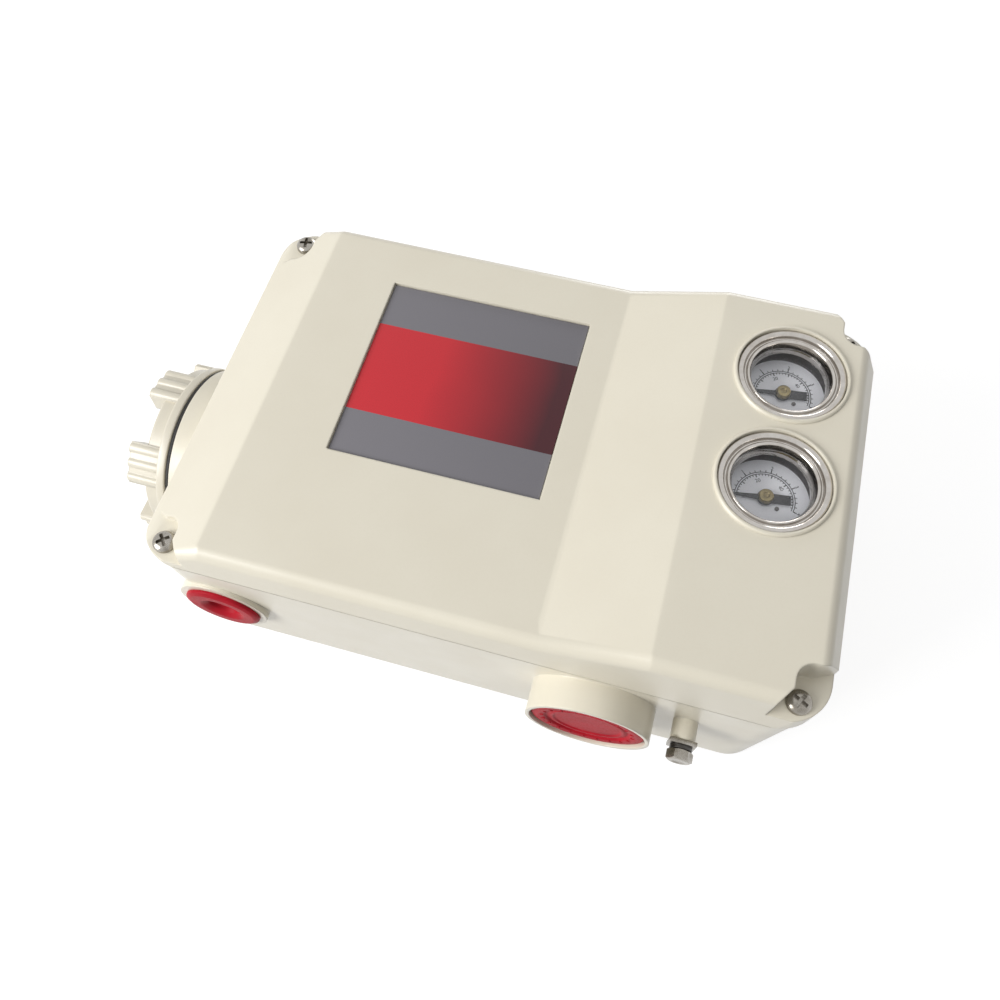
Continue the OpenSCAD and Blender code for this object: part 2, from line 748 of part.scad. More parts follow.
module small_entry_plug() {
    color(red) difference() {
        union() {
            bar_y(-half_w - 2, -half_w, small_x, small_z, small_entry_bore + 5);
            bar_y(-half_w - 0.1, -half_w + 12, small_x, small_z, small_entry_bore - 0.1);
        }
        bar_y(-half_w - 4, -half_w + 9.5, small_x, small_z, small_entry_bore - 2);
    }
}

module large_entry_plug() {
    y = large_seat;
    color(red) difference() {
        union() {
            bar_y(y - 3.4, y - 1.7, large_x, large_z, large_boss_radius - 1.9);
            bar_y(y - 1.8, y, large_x, large_z, large_boss_radius - 2.8);
            bar_y(y - 0.1, y + 12, large_x, large_z, large_entry_bore - 0.1);
        }
        bar_y(y - 5, y - 2.2, large_x, large_z, large_entry_bore - 1.15);
        bar_y(y + 2, y + 13, large_x, large_z, large_entry_bore - 2.4);
    }
}

module large_plug_ring() {
    color(black) difference() {
        bar_y(large_seat - 1.6, large_seat, large_x, large_z, large_boss_radius - 1.45);
        bar_y(large_seat - 3, large_seat + 1, large_x, large_z, large_boss_radius - 2.75);
    }
}

module earth_bolt() {
    seat = earth_face - clamp_thickness - washer_thickness;
    color(steel) {
        translate([earth_at[0], seat, earth_z]) rotate([90, 0, 0]) cylinder(r = 4.6, h = 3.8, $fn = 6);
        bar_y(seat - 0.1, -half_w + 7, earth_at[0], earth_z, 2.5);
    }
}

module earth_spring_washer() {
    y = earth_face - clamp_thickness;
    color("#3a3b3d") difference() {
        bar_y(y - washer_thickness, y, earth_at[0], earth_z, 3.9);
        bar_y(y - washer_thickness - 1, y + 1, earth_at[0], earth_z, 2.6);
        translate([earth_at[0] - 0.4, y - washer_thickness - 1, earth_z + 1]) cube([0.8, 4, 5]);
    }
}

module earth_clamp() {
    color(steel) difference() {
        translate([earth_at[0] - 4.7, earth_face - clamp_thickness, earth_z - 4.7])
            cube([9.4, clamp_thickness, 9.4]);
        bar_y(earth_face - 3, earth_face + 1, earth_at[0], earth_z, 2.6);
    }
}

// Position feedback

module feedback_spindle() {
    slot = 2.4;
    color(steel) difference() {
        union() {
            bar_z(1.5, gear_z - 0.2, 0, 0, spindle_radius);
            bar_z(recess_depth - 3, recess_depth + 0.2, 0, 0, spindle_radius + 2.4);
            bar_z(gear_z - 0.3, clip_z + 2.7, 0, 0, spindle_step);
        }
        translate([-slot / 2, -spindle_radius - 4, 0]) cube([slot, 2 * spindle_radius + 8, 4]);
        tube_z(clip_z - 0.1, clip_z + 1.1, 0, 0, spindle_radius, spindle_step - 0.6);
    }
}

module spindle_bushes() {
    color(brass) for (z = [spindle_boss - 17, spindle_boss - 7]) {
        tube_z(z, z + 7, 0, 0, spindle_radius + 3, spindle_radius + running_clearance);
    }
}

module spindle_seal() {
    color(black)
        tube_z(recess_depth + 0.6, recess_depth + 4.8, 0, 0, spindle_radius + 3, spindle_radius + 0.03);
}

module spindle_clip() {
    color(steel) difference() {
        tube_z(clip_z, clip_z + 1, 0, 0, spindle_radius + 0.6, spindle_step - 0.57);
        translate([1, -1.6, clip_z - 1]) cube([10, 3.2, 3]);
    }
}

module feedback_sector() {
    hole_distance = 0.61 * gear_module * feedback_teeth / 2;
    color(brass) difference() {
        union() {
            translate([0, 0, gear_z]) linear_extrude(gear_thickness) rotate(180)
                sector_outline(gear_module, feedback_teeth, -11, 11, spindle_radius + 5);
            bar_z(gear_z, clip_z - 0.1, 0, 0, spindle_radius + 3);
        }
        bar_z(gear_z - 1, clip_z + 1, 0, 0, spindle_step + 0.03);
        for (a = [150, 180, 210]) {
            bar_z(gear_z - 1, clip_z + 1, hole_distance * cos(a), hole_distance * sin(a), 5);
        }
    }
}

module potentiometer() {
    top = pot_z + 16;
    color("#2f4f7a") translate([-pot_distance, 0, 0]) {
        difference() {
            bar_z(pot_z, top, 0, 0, 11);
            bar_z(pot_z + 6, top + 2, 0, 0, 3 + running_clearance);
        }
        for (y = [-4, 0, 4]) translate([-15, y - 0.6, pot_z + 6]) cube([5, 1.2, 0.8]);
    }
}

module potentiometer_pinion() {
    color(brass) translate([-pot_distance, 0, 0]) {
        bar_z(pot_z + 6.2, gear_z + 6.7, 0, 0, 3);
        translate([0, 0, gear_z]) pinion(gear_module, pinion_teeth, gear_thickness);
        bar_z(gear_z + gear_thickness - 0.1, gear_z + 6, 0, 0, 5.5);
    }
}

// Air relay

module air_manifold() {
    left = manifold_left - 2;
    color(die_cast) difference() {
        block([manifold_left, manifold_y[0], floor_thickness], [cavity[1], manifold_y[1], manifold_top]);
        at_gauges() bar_z(manifold_top - 12, manifold_top + 1, 0, 0, socket_shank + 0.05);
        at_gauges() bar_z(port_z, manifold_top - 11, 0, 0, 2);
        for (y = gauge_ys) bar_x(left, cavity[1] + 2, y, port_z, 2.5);
        for (y = manifold_screw_ys) {
            bar_x(left, manifold_left + 6, y, manifold_screw_z, 4.6);
            bar_x(left, cavity[1] + 2, y, manifold_screw_z, 2.6);
        }
        for (y = pilot_screw_ys) bar_x(left, manifold_left + 12, y, pilot_screw_z, 2.05);
    }
}

module manifold_screws() {
    color(steel) for (y = manifold_screw_ys) {
        translate([manifold_left + 6, y, manifold_screw_z]) rotate([0, -90, 0])
            socket_screw(4.25, 5, 2.5, 28);
    }
}

module pilot_body() {
    left = pilot_left - 2;
    right = manifold_left + 2;
    low = floor_thickness + 13;
    color(die_cast) difference() {
        block(
            [pilot_left, gauge_ys[1] - 6.2, floor_thickness],
            [manifold_left, gauge_ys[0] + 8.2, pilot_top]
        );
        bar_z(spring_seat, pilot_top + 5, spool_at[0], spool_at[1], spool_radius + running_clearance);
        bar_x(spool_at[0], right, gauge_ys[1], port_z, 2);
        bar_y(gauge_ys[1], spool_at[1], spool_at[0], port_z, 2);
        bar_x(spool_at[0], right, gauge_ys[0], port_z, 2);
        bar_z(low, port_z, spool_at[0], gauge_ys[0], 2);
        bar_y(spool_at[1], gauge_ys[0], spool_at[0], low, 2);
        bar_x(left, spool_at[0], spool_at[1], pilot_top - 4.5, 2);
        for (y = pilot_screw_ys) {
            bar_x(left, right, y, pilot_screw_z, 2.1);
            bar_x(left, pilot_left + 5, y, pilot_screw_z, 3.8);
        }
        for (s = [-8.5, 8.5]) bar_z(pilot_top - 10, pilot_top + 2, spool_at[0] + s, spool_at[1] + 12, 1.55);
    }
}

module pilot_spool() {
    x = spool_at[0];
    y = spool_at[1];
    color(steel) {
        bar_z(spool_foot, spool_foot + 18, x, y, spool_radius - 2);
        for (rise = [0, 5.6, 13]) bar_z(spool_foot + rise, spool_foot + rise + 3.4, x, y, spool_radius);
        bar_z(spool_foot + 17.2, spool_foot + 19, x, y, spool_radius);
    }
}

module pilot_spring() {
    color(steel) translate([spool_at[0], spool_at[1], 0])
        coil_spring(spool_radius - 1.8, 0.5, spring_seat, spool_foot, 4);
}

module pilot_screws() {
    color(steel) for (y = pilot_screw_ys) {
        translate([pilot_left + 5, y, pilot_screw_z]) rotate([0, -90, 0]) socket_screw(3.4, 4, 2, 30);
    }
}

module converter_body() {
    color("#3d4148") difference() {
        block(
            [spool_at[0] - 11.5, spool_at[1] - 18, pilot_top],
            [spool_at[0] + 12, spool_at[1] + 22, converter_top]
        );
        bar_z(pilot_top - 1, converter_top + 1, spool_at[0], spool_at[1] + 16, 1.5);
        for (s = [-8.5, 8.5]) {
            bar_z(pilot_top - 1, converter_top + 1, spool_at[0] + s, spool_at[1] + 12, 1.6);
        }
    }
}

module converter_coil() {
    x = spool_at[0];
    y = spool_at[1] - 8;
    z = converter_top + 1.6;
    color("#a5562d") difference() {
        union() {
            bar_z(z, z + 10, x, y, 7.4);
            bar_z(z, z + 1, x, y, 8.6);
            bar_z(z + 9, z + 10, x, y, 8.6);
        }
        bar_z(z - 1, z + 11, x, y, 3.05);
    }
}

module converter_yoke() {
    x = spool_at[0];
    y = spool_at[1];
    z = converter_top;
    color(steel) difference() {
        union() {
            block([x - 7, y - 17, z], [x + 7, y + 7, z + 1.6]);
            bar_z(z + 1, flapper_z - 1.5, x, y - 8, 3);
            for (s = [-6, 6]) block([x + s - 1, y + 1, z], [x + s + 1, y + 7, flapper_z + 2.5]);
        }
        bar_x(x - 9, x + 9, y + 4, flapper_z, 1 + running_clearance);
    }
}

module converter_nozzle() {
    y = spool_at[1] + 16;
    color(brass) difference() {
        union() {
            bar_z(converter_top, flapper_z - 1.25, spool_at[0], y, 2.2);
            bar_z(converter_top, converter_top + 4, spool_at[0], y, 4);
        }
        bar_z(converter_top - 1, flapper_z + 1, spool_at[0], y, 0.6);
    }
}

module converter_flapper() {
    x = spool_at[0];
    y = spool_at[1];
    color(steel) {
        block([x - 3.4, y - 14, flapper_z - 0.8], [x + 3.4, y + 20, flapper_z + 0.8]);
        bar_x(x - 6.9, x + 6.9, y + 4, flapper_z, 1);
    }
}

module converter_screws() {
    color(steel) for (s = [-8.5, 8.5]) {
        translate([spool_at[0] + s, spool_at[1] + 12, converter_top]) socket_screw(2.7, 3, 1.5, 18);
    }
}

// Electronics and vent

module main_board() {
    color("#1f6b3f") difference() {
        block([board_x[0], -board_half_w, board_z], [board_x[1], board_half_w, board_z + 1.6]);
        for (p = board_posts) bar_z(board_z - 1, board_z + 3, p[0], p[1], 1.7);
    }
}

module board_chips() {
    color(black) translate([(board_x[0] + board_x[1]) / 2, 0, board_z + 1.6]) {
        translate([-26, -8, 0]) cube([16, 16, 2]);
        for (y = [20, -32]) translate([6, y, 0]) cube([12, 9, 2]);
        for (y = [-44, -30]) bar_z(0, 9, -30, y, 5);
        for (x = [-36, -24, -12]) translate([x, 36, 0]) cube([7, 5, 2.6]);
    }
}

module board_connectors() {
    z = board_z + 1.6;
    color("#e6e4dc") {
        for (y = [-24, 4]) translate([board_x[1] - 12, y, z]) cube([8, 22, 9]);
        translate([board_x[0] + 3, -20, z]) cube([9, 40, 10]);
    }
}

module board_screws() {
    color(steel) for (p = board_posts) {
        translate([p[0], p[1], board_z + 1.6]) cross_screw(2.8, 2.2, 1.25, 8);
    }
}

module vent_plug() {
    color(brass) difference() {
        union() {
            translate([vent_at[0], half_w, vent_at[1]]) rotate([90, 0, 0])
                cylinder(r = 6.9, h = 3.6, $fn = 6);
            bar_y(half_w - 14, half_w - 3, vent_at[0], vent_at[1], 4.15);
        }
        bar_y(half_w - 15, half_w + 4, vent_at[0], vent_at[1], 1.6);
    }
}

base_housing();
cover_gasket();
cover();
cover_screws();
nameplate();
gauge_sockets();
gauge_cases();
gauge_bezels();
gauge_lenses();
dial_rings();
gauge_dials();
bourdon_tubes();
movement_frames();
gauge_sector_1();
gauge_sector_2();
gauge_pinion_1();
gauge_pinion_2();
pointer_1();
pointer_2();
terminal_cap();
cap_o_ring();
terminal_block();
terminal_screws();
wire_feedthrough();
inner_earth_screw();
small_entry_plug();
large_entry_plug();
large_plug_ring();
earth_bolt();
earth_spring_washer();
earth_clamp();
feedback_spindle();
spindle_bushes();
spindle_seal();
spindle_clip();
feedback_sector();
potentiometer();
potentiometer_pinion();
air_manifold();
manifold_screws();
pilot_body();
pilot_spool();
pilot_spring();
pilot_screws();
converter_body();
converter_coil();
converter_yoke();
converter_nozzle();
converter_flapper();
converter_screws();
main_board();
board_chips();
board_connectors();
board_screws();
vent_plug();
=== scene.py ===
"""Blender scene of a valve positioner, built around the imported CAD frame.

Every length in the dataclass fields is in millimetres and every Blender object is in metres.
"""

from __future__ import annotations

import json
import logging
import math
from dataclasses import dataclass
from enum import Enum
from typing import Sequence, Union

import bmesh
import bpy
from mathutils import Matrix, Vector

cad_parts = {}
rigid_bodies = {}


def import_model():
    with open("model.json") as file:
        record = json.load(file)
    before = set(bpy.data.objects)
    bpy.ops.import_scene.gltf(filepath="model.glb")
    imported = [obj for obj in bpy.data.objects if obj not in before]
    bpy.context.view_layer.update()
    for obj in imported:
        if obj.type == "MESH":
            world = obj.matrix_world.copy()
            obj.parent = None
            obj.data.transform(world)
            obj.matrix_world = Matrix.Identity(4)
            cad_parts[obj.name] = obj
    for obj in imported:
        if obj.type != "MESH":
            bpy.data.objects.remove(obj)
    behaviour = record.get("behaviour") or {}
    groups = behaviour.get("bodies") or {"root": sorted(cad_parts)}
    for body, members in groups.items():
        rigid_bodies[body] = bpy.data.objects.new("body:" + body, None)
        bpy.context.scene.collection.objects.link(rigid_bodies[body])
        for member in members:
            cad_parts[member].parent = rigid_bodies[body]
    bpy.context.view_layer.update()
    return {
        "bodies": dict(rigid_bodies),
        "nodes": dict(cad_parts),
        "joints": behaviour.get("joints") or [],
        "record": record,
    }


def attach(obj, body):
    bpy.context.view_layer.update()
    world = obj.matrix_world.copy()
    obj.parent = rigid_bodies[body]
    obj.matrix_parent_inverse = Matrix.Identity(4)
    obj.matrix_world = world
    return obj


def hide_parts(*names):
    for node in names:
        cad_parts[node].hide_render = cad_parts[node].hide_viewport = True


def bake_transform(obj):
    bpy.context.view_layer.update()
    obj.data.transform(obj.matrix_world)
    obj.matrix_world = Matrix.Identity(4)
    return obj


LOG = logging.getLogger("valve_positioner")
MM = 0.001
Colour = tuple[float, float, float]
Feed = Union[bpy.types.NodeSocket, float, Sequence[float]]
Corner = tuple[float, float, float]
Point = tuple[float, float, float]
Flat = tuple[float, float]


def tone(red: int, green: int, blue: int) -> Colour:
    """Turns a colour in screen values from 0 to 255 into the linear values that shaders take.

    Args:
        red: Red from 0 to 255.
        green: Green from 0 to 255.
        blue: Blue from 0 to 255.

    Returns:
        The linear colour.
    """

    def linear(value: int) -> float:
        """Returns one channel in linear light."""
        share = value / 255
        return share / 12.92 if share <= 0.04045 else ((share + 0.055) / 1.055) ** 2.4

    return linear(red), linear(green), linear(blue)


class Facing(Enum):
    """The way that the axis of a turned piece points in the part's frame."""

    OUT = (0.0, 0.0, 1.0)
    NEAR = (0.0, -1.0, 0.0)
    LEFT = (-1.0, 0.0, 0.0)
    RIGHT = (1.0, 0.0, 0.0)
    BACK = (0.0, 0.0, -1.0)

    def place(self, origin: Sequence[float]) -> Matrix:
        """Gives the matrix from a turned piece's own frame to the part's frame.

        Args:
            origin: The point in millimetres where the piece's axis starts.

        Returns:
            The matrix, in metres.
        """
        turn = Vector(self.value).to_track_quat("Z", "Y").to_matrix().to_4x4()
        return Matrix.Translation(Vector(origin) * MM) @ turn


class Shop:
    """Mesh tools that the sub-assemblies share."""

    @staticmethod
    def add(bm: bmesh.types.BMesh, name: str) -> bpy.types.Object:
        """Makes an object at the origin from a mesh under construction.

        Args:
            bm: The mesh, which is freed.
            name: The object's name.

        Returns:
            The new object.
        """
        mesh = bpy.data.meshes.new(name)
        bm.to_mesh(mesh)
        bm.free()
        return Shop.link(mesh, name)

    @staticmethod
    def link(mesh: bpy.types.Mesh, name: str) -> bpy.types.Object:
        """Links a mesh to the scene as a new object at the origin.

        Args:
            mesh: The mesh.
            name: The object's name.

        Returns:
            The new object.
        """
        obj = bpy.data.objects.new(name, mesh)
        bpy.context.scene.collection.objects.link(obj)
        return obj

    @staticmethod
    def smooth(obj: bpy.types.Object, angle: float = 32.0) -> bpy.types.Object:
        """Shades a piece smooth, with its steeper edges kept sharp.

        Args:
            obj: The piece.
            angle: The angle in degrees from which an edge is sharp.

        Returns:
            The same piece.
        """
        obj.data.shade_smooth()
        obj.data.set_sharp_from_angle(angle=math.radians(angle))
        return obj

    @staticmethod
    def settle(obj: bpy.types.Object) -> bpy.types.Object:
        """Applies an object's modifiers, so that a plain mesh is left.

        Args:
            obj: The object with modifiers.

        Returns:
            The same object, with the finished mesh and no modifier.
        """
        depsgraph = bpy.context.evaluated_depsgraph_get()
        mesh = bpy.data.meshes.new_from_object(
            obj.evaluated_get(depsgraph), preserve_all_data_layers=True, depsgraph=depsgraph
        )
        obj.modifiers.clear()
        old = obj.data
        obj.data = mesh
        bpy.data.meshes.remove(old)
        return obj

    @staticmethod
    def carve(obj: bpy.types.Object, tool: bpy.types.Object, operation: str) -> bpy.types.Object:
        """Cuts a piece with another one.

        Args:
            obj: The piece.
            tool: The other one, which is used up.
            operation: Blender's name of the cut.

        Returns:
            The same piece, with the cut in its mesh.
        """
        cut = obj.modifiers.new("cut", "BOOLEAN")
        cut.operation = operation
        cut.object = tool
        cut.solver = "EXACT"
        cut.use_self = True
        Shop.settle(obj)
        bpy.data.objects.remove(tool)
        return obj

    @staticmethod
    def copy_of(
        node: bpy.types.Object, name: str, join: float = 0.002, flat: float = 0.4
    ) -> bpy.types.Object:
        """Copies a CAD node, with its loose triangles merged and its flat faces made whole.

        Args:
            node: The CAD node's object.
            name: The copy's name.
            join: The distance in millimetres below which two points become one.
            flat: The angle in degrees below which two faces become one.

        Returns:
            The copy.
        """
        bm = bmesh.new()
        bm.from_mesh(node.data)
        bmesh.ops.remove_doubles(bm, verts=bm.verts, dist=join * MM)
        bmesh.ops.dissolve_degenerate(bm, edges=bm.edges, dist=join * MM)
        limit = math.radians(flat)
        bmesh.ops.dissolve_limit(bm, angle_limit=limit, verts=bm.verts, edges=bm.edges)
        return Shop.add(bm, name)

    @staticmethod
    def soften(
        obj: bpy.types.Object, width: float, angle: float = 24.0, steps: int = 3
    ) -> bpy.types.Object:
        """Rounds a piece's edges.

        Args:
            obj: The piece.
            width: The width of the rounding in millimetres.
            angle: The smallest angle in degrees of an edge that is rounded.
            steps: The number of faces across the rounding.

        Returns:
            The piece, with the rounding in its mesh.
        """
        bevel = obj.modifiers.new("edge_rounding", "BEVEL")
        bevel.width = width * MM
        bevel.segments = steps
        bevel.limit_method = "ANGLE"
        bevel.angle_limit = math.radians(angle)
        bevel.use_clamp_overlap = False
        bevel.miter_outer = "MITER_ARC"
        Shop.settle(obj)
        return Shop.smooth(obj, 38.0)

    @staticmethod
    def even(obj: bpy.types.Object, angle: float = 30.0) -> bpy.types.Object:
        """Shades a piece so that its large flat faces look flat and its roundings smooth.

        Args:
            obj: The piece.
            angle: The angle in degrees from which two faces meet at a sharp edge.

        Returns:
            The same piece.
        """
        mesh = Shop.smooth(obj, angle).data
        limit = math.cos(math.radians(angle))
        around: list[list[bpy.types.MeshPolygon]] = [[] for _ in mesh.vertices]
        for face in mesh.polygons:
            for vert in face.vertices:
                around[vert].append(face)
        normals = []
        for face in mesh.polygons:
            for vert in face.vertices:
                near = [other for other in around[vert] if face.normal.dot(other.normal) > limit]
                total = sum((other.normal * other.area for other in near), Vector())
                normals.append(total.normalized())
        mesh.normals_split_custom_set(normals)
        return obj

    @staticmethod
    def polar(radius: float, angle: float, height: float = 0.0) -> Vector:
        """Returns the point at a radius, an angle in degrees and a height, in the radius's unit."""
        turn = math.radians(angle)
        return Vector((radius * math.cos(turn), radius * math.sin(turn), height))

    @staticmethod
    def bar(start: float, end: float, width: float) -> list[Flat]:
        """Returns the corners of a straight bar along X."""
        half = width / 2
        return [(start, -half), (end, -half), (end, half), (start, half)]

    @staticmethod
    def rounded(corners: Sequence[Corner], closed: bool = True, steps: int = 5) -> list[Flat]:
        """Rounds the corners of a turning profile.

        Args:
            corners: The radius, height and rounding at each corner, in millimetres.
            closed: Whether the profile's last corner joins its first one.
            steps: The number of short lines across a rounding.

        Returns:
            The radius and height of each point of the rounded profile.
        """
        most = 0.48
        points: list[Flat] = []
        for index, (radius, height, rounding) in enumerate(corners):
            here = Vector((radius, height))
            at_end = index in (0, len(corners) - 1)
            if rounding <= 0 or (at_end and not closed):
                points.append((radius, height))
                continue
            back = Vector(corners[index - 1][:2]) - here
            ahead = Vector(corners[(index + 1) % len(corners)][:2]) - here
            reach = min(rounding, most * back.length, most * ahead.length)
            start = here + back.normalized() * reach
            end = here + ahead.normalized() * reach
            for step in range(steps + 1):
                t = step / steps
                point = (1 - t) ** 2 * start + 2 * t * (1 - t) * here + t * t * end
                points.append((point.x, point.y))
        return points

    @staticmethod
    def turn(
        bm: bmesh.types.BMesh,
        profile: Sequence[Flat],
        place: Matrix,
        closed: bool = True,
        around: int = 96,
    ) -> None:
        """Adds a turned shape to a mesh under construction.

        Args:
            bm: The mesh.
            profile: The radius and height of each point in millimetres.
            place: The matrix from the shape's own frame to the part's frame.
            closed: Whether the profile's last point joins its first one.
            around: The number of faces around the axis.
        """
        rings: list[list[bmesh.types.BMVert]] = []
        for radius, height in profile:
            on_axis = radius < 1e-4
            angles = [360 * step / around for step in range(1 if on_axis else around)]
            points = [Shop.polar(radius, angle, height) for angle in angles]
            rings.append([bm.verts.new(place @ (point * MM)) for point in points])
        pairs = list(zip(rings, rings[1:]))
        if closed:
            pairs.append((rings[-1], rings[0]))
        made = []
        for low, high in pairs:
            for step in range(around):
                ahead = (step + 1) % around
                around_face = [low[step % len(low)], low[ahead % len(low)]]
                around_face += [high[ahead % len(high)], high[step % len(high)]]
                corners = list(dict.fromkeys(around_face))
                if len(corners) > 2:
                    made.append(bm.faces.new(corners))
        bmesh.ops.recalc_face_normals(bm, faces=made)

    @staticmethod
    def skin(bm: bmesh.types.BMesh, rows: Sequence[Sequence[Vector]], place: Matrix) -> None:
        """Adds a closed skin over rows of points, with a face on the first and the last row.

        Args:
            bm: The mesh.
            rows: The points of each row in millimetres, with the same number in each row.
            place: The matrix from the rows' own frame to the part's frame.
        """
        verts = [[bm.verts.new(place @ (point * MM)) for point in row] for row in rows]
        made = [bm.faces.new(verts[0]), bm.faces.new(verts[-1])]
        count = len(verts[0])
        for low, high in zip(verts, verts[1:]):
            for k in range(count):
                ahead = (k + 1) % count
                made.append(bm.faces.new([low[k], low[ahead], high[ahead], high[k]]))
        bmesh.ops.recalc_face_normals(bm, faces=made)

    @staticmethod
    def prism(
        bm: bmesh.types.BMesh, outline: Sequence[Flat], low: float, high: float, place: Matrix
    ) -> None:
        """Adds a straight prism to a mesh under construction.

        Args:
            bm: The mesh.
            outline: The corners of the prism's base in millimetres.
            low: The height of its base in millimetres.
            high: The height of its top in millimetres.
            place: The matrix from the prism's own frame to the part's frame.
        """
        Shop.skin(bm, [[Vector((x, y, z)) for x, y in outline] for z in (low, high)], place)


class Shade:
    """A material's node tree, with short calls for the nodes that the finishes share."""

    def __init__(self, name: str) -> None:
        """Starts a material with one Principled shader.

        Args:
            name: The material's name.
        """
        self.material = bpy.data.materials.new(name)
        self.material.use_nodes = True
        self.tree = self.material.node_tree
        self.shader = self.tree.nodes["Principled BSDF"]
        self.place = self.tree.nodes.new("ShaderNodeTexCoord").outputs["Object"]

    def feed(self, socket: bpy.types.NodeSocket, value: Feed) -> None:
        """Links a socket to another one, or sets its value.

        Args:
            socket: The socket that is fed.
            value: The other socket, a number or a colour.
        """
        if isinstance(value, bpy.types.NodeSocket):
            self.tree.links.new(value, socket)
        elif isinstance(value, (float, int)):
            socket.default_value = value
        else:
            wanted = len(socket.default_value)
            socket.default_value = (*value, 1.0)[:wanted] if len(value) < wanted else value

    def put(self, name: str, value: Feed) -> None:
        """Feeds one of the shader's own sockets."""
        self.feed(self.shader.inputs[name], value)

    def spread(self, scale: Sequence[float]) -> bpy.types.NodeSocket:
        """Stretches the object coordinates.

        Args:
            scale: The scale along each axis.

        Returns:
            The stretched coordinates.
        """
        node = self.tree.nodes.new("ShaderNodeMapping")
        self.feed(node.inputs["Vector"], self.place)
        node.inputs["Scale"].default_value = scale
        return node.outputs["Vector"]

    def noise(
        self,
        size: float,
        detail: float = 2.0,
        rough: float = 0.5,
        place: bpy.types.NodeSocket | None = None,
    ) -> bpy.types.NodeSocket:
        """Adds a noise pattern.

        Args:
            size: The size of its grains in millimetres.
            detail: The number of finer layers.
            rough: The weight of the finer layers.
            place: The coordinates it reads, or none for object coordinates.

        Returns:
            The noise, from 0 to 1.
        """
        node = self.tree.nodes.new("ShaderNodeTexNoise")
        self.feed(node.inputs["Vector"], place or self.place)
        node.inputs["Scale"].default_value = 1 / (size * MM)
        node.inputs["Detail"].default_value = detail
        node.inputs["Roughness"].default_value = rough
        return node.outputs["Fac"]

    def scaled(
        self, value: Feed, low: float, high: float, start: float = 0.0, end: float = 1.0
    ) -> bpy.types.NodeSocket:
        """Maps a value from one range to another, held at both ends.

        Args:
            value: The value.
            low: The result at the start of the range.
            high: The result at the end of the range.
            start: The start of the value's range.
            end: The end of the value's range.

        Returns:
            The mapped value.
        """
        node = self.tree.nodes.new("ShaderNodeMapRange")
        self.feed(node.inputs["Value"], value)
        for name, number in (("From Min", start), ("From Max", end), ("To Min", low), ("To Max", high)):
            node.inputs[name].default_value = number
        return node.outputs["Result"]

    def blend(self, share: Feed, first: Feed, second: Feed) -> bpy.types.NodeSocket:
        """Mixes two colours.

        Args:
            share: The share of the second colour.
            first: The first colour.
            second: The second colour.

        Returns:
            The mixed colour.
        """
        node = self.tree.nodes.new("ShaderNodeMix")
        node.data_type = "RGBA"
        self.feed(node.inputs[0], share)
        self.feed(node.inputs[6], first)
        self.feed(node.inputs[7], second)
        return node.outputs[2]

    def sums(self, operation: str, first: Feed, second: Feed = 0.0) -> bpy.types.NodeSocket:
        """Works out a sum on two values.

        Args:
            operation: Blender's name of the sum.
            first: The first value.
            second: The second value.

        Returns:
            The result.
        """
        node = self.tree.nodes.new("ShaderNodeMath")
        node.operation = operation
        self.feed(node.inputs[0], first)
        self.feed(node.inputs[1], second)
        return node.outputs[0]

    def axes(self) -> dict[str, bpy.types.NodeSocket]:
        """Splits the object coordinates.

        Returns:
            The three coordinates by name.
        """
        node = self.tree.nodes.new("ShaderNodeSeparateXYZ")
        self.feed(node.inputs[0], self.place)
        return {name: node.outputs[name] for name in "XYZ"}

    def relief(self, height: Feed, depth: float, strength: float = 1.0, rounding: float = 0.0) -> None:
        """Raises the surface by a height pattern.

        Args:
            height: The pattern, from 0 to 1.
            depth: The height in millimetres of the pattern at 1.
            strength: The strength of the relief.
            rounding: The radius in millimetres to which sharp edges look rounded.
        """
        node = self.tree.nodes.new("ShaderNodeBump")
        node.inputs["Strength"].default_value = strength
        node.inputs["Distance"].default_value = depth * MM
        self.feed(node.inputs["Height"], height)
        if rounding > 0:
            edge = self.tree.nodes.new("ShaderNodeBevel")
            edge.samples = 6
            edge.inputs["Radius"].default_value = rounding * MM
            self.feed(node.inputs["Normal"], edge.outputs["Normal"])
        self.put("Normal", node.outputs["Normal"])


class Slot(Enum):
    """The record's material slots."""

    PAINT = "housing_paint"
    RUBBER = "gasket_rubber"
    STEEL = "screw_steel"
    LABEL = "label_print"
    CHROME = "bezel_chrome"
    LENS = "lens_clear"
    DIAL = "dial_print"
    RING = "ring_dark"
    POINTER = "pointer_black"
    BRASS = "brass_plain"
    ALUMINIUM = "aluminium_plain"
    RED = "plug_red"
    SPRING = "spring_dark"
    PLASTIC = "plastic_black"
    BOARD = "board_green"
    CONNECTOR = "connector_white"
    COPPER = "coil_copper"
    BLUE = "pot_blue"


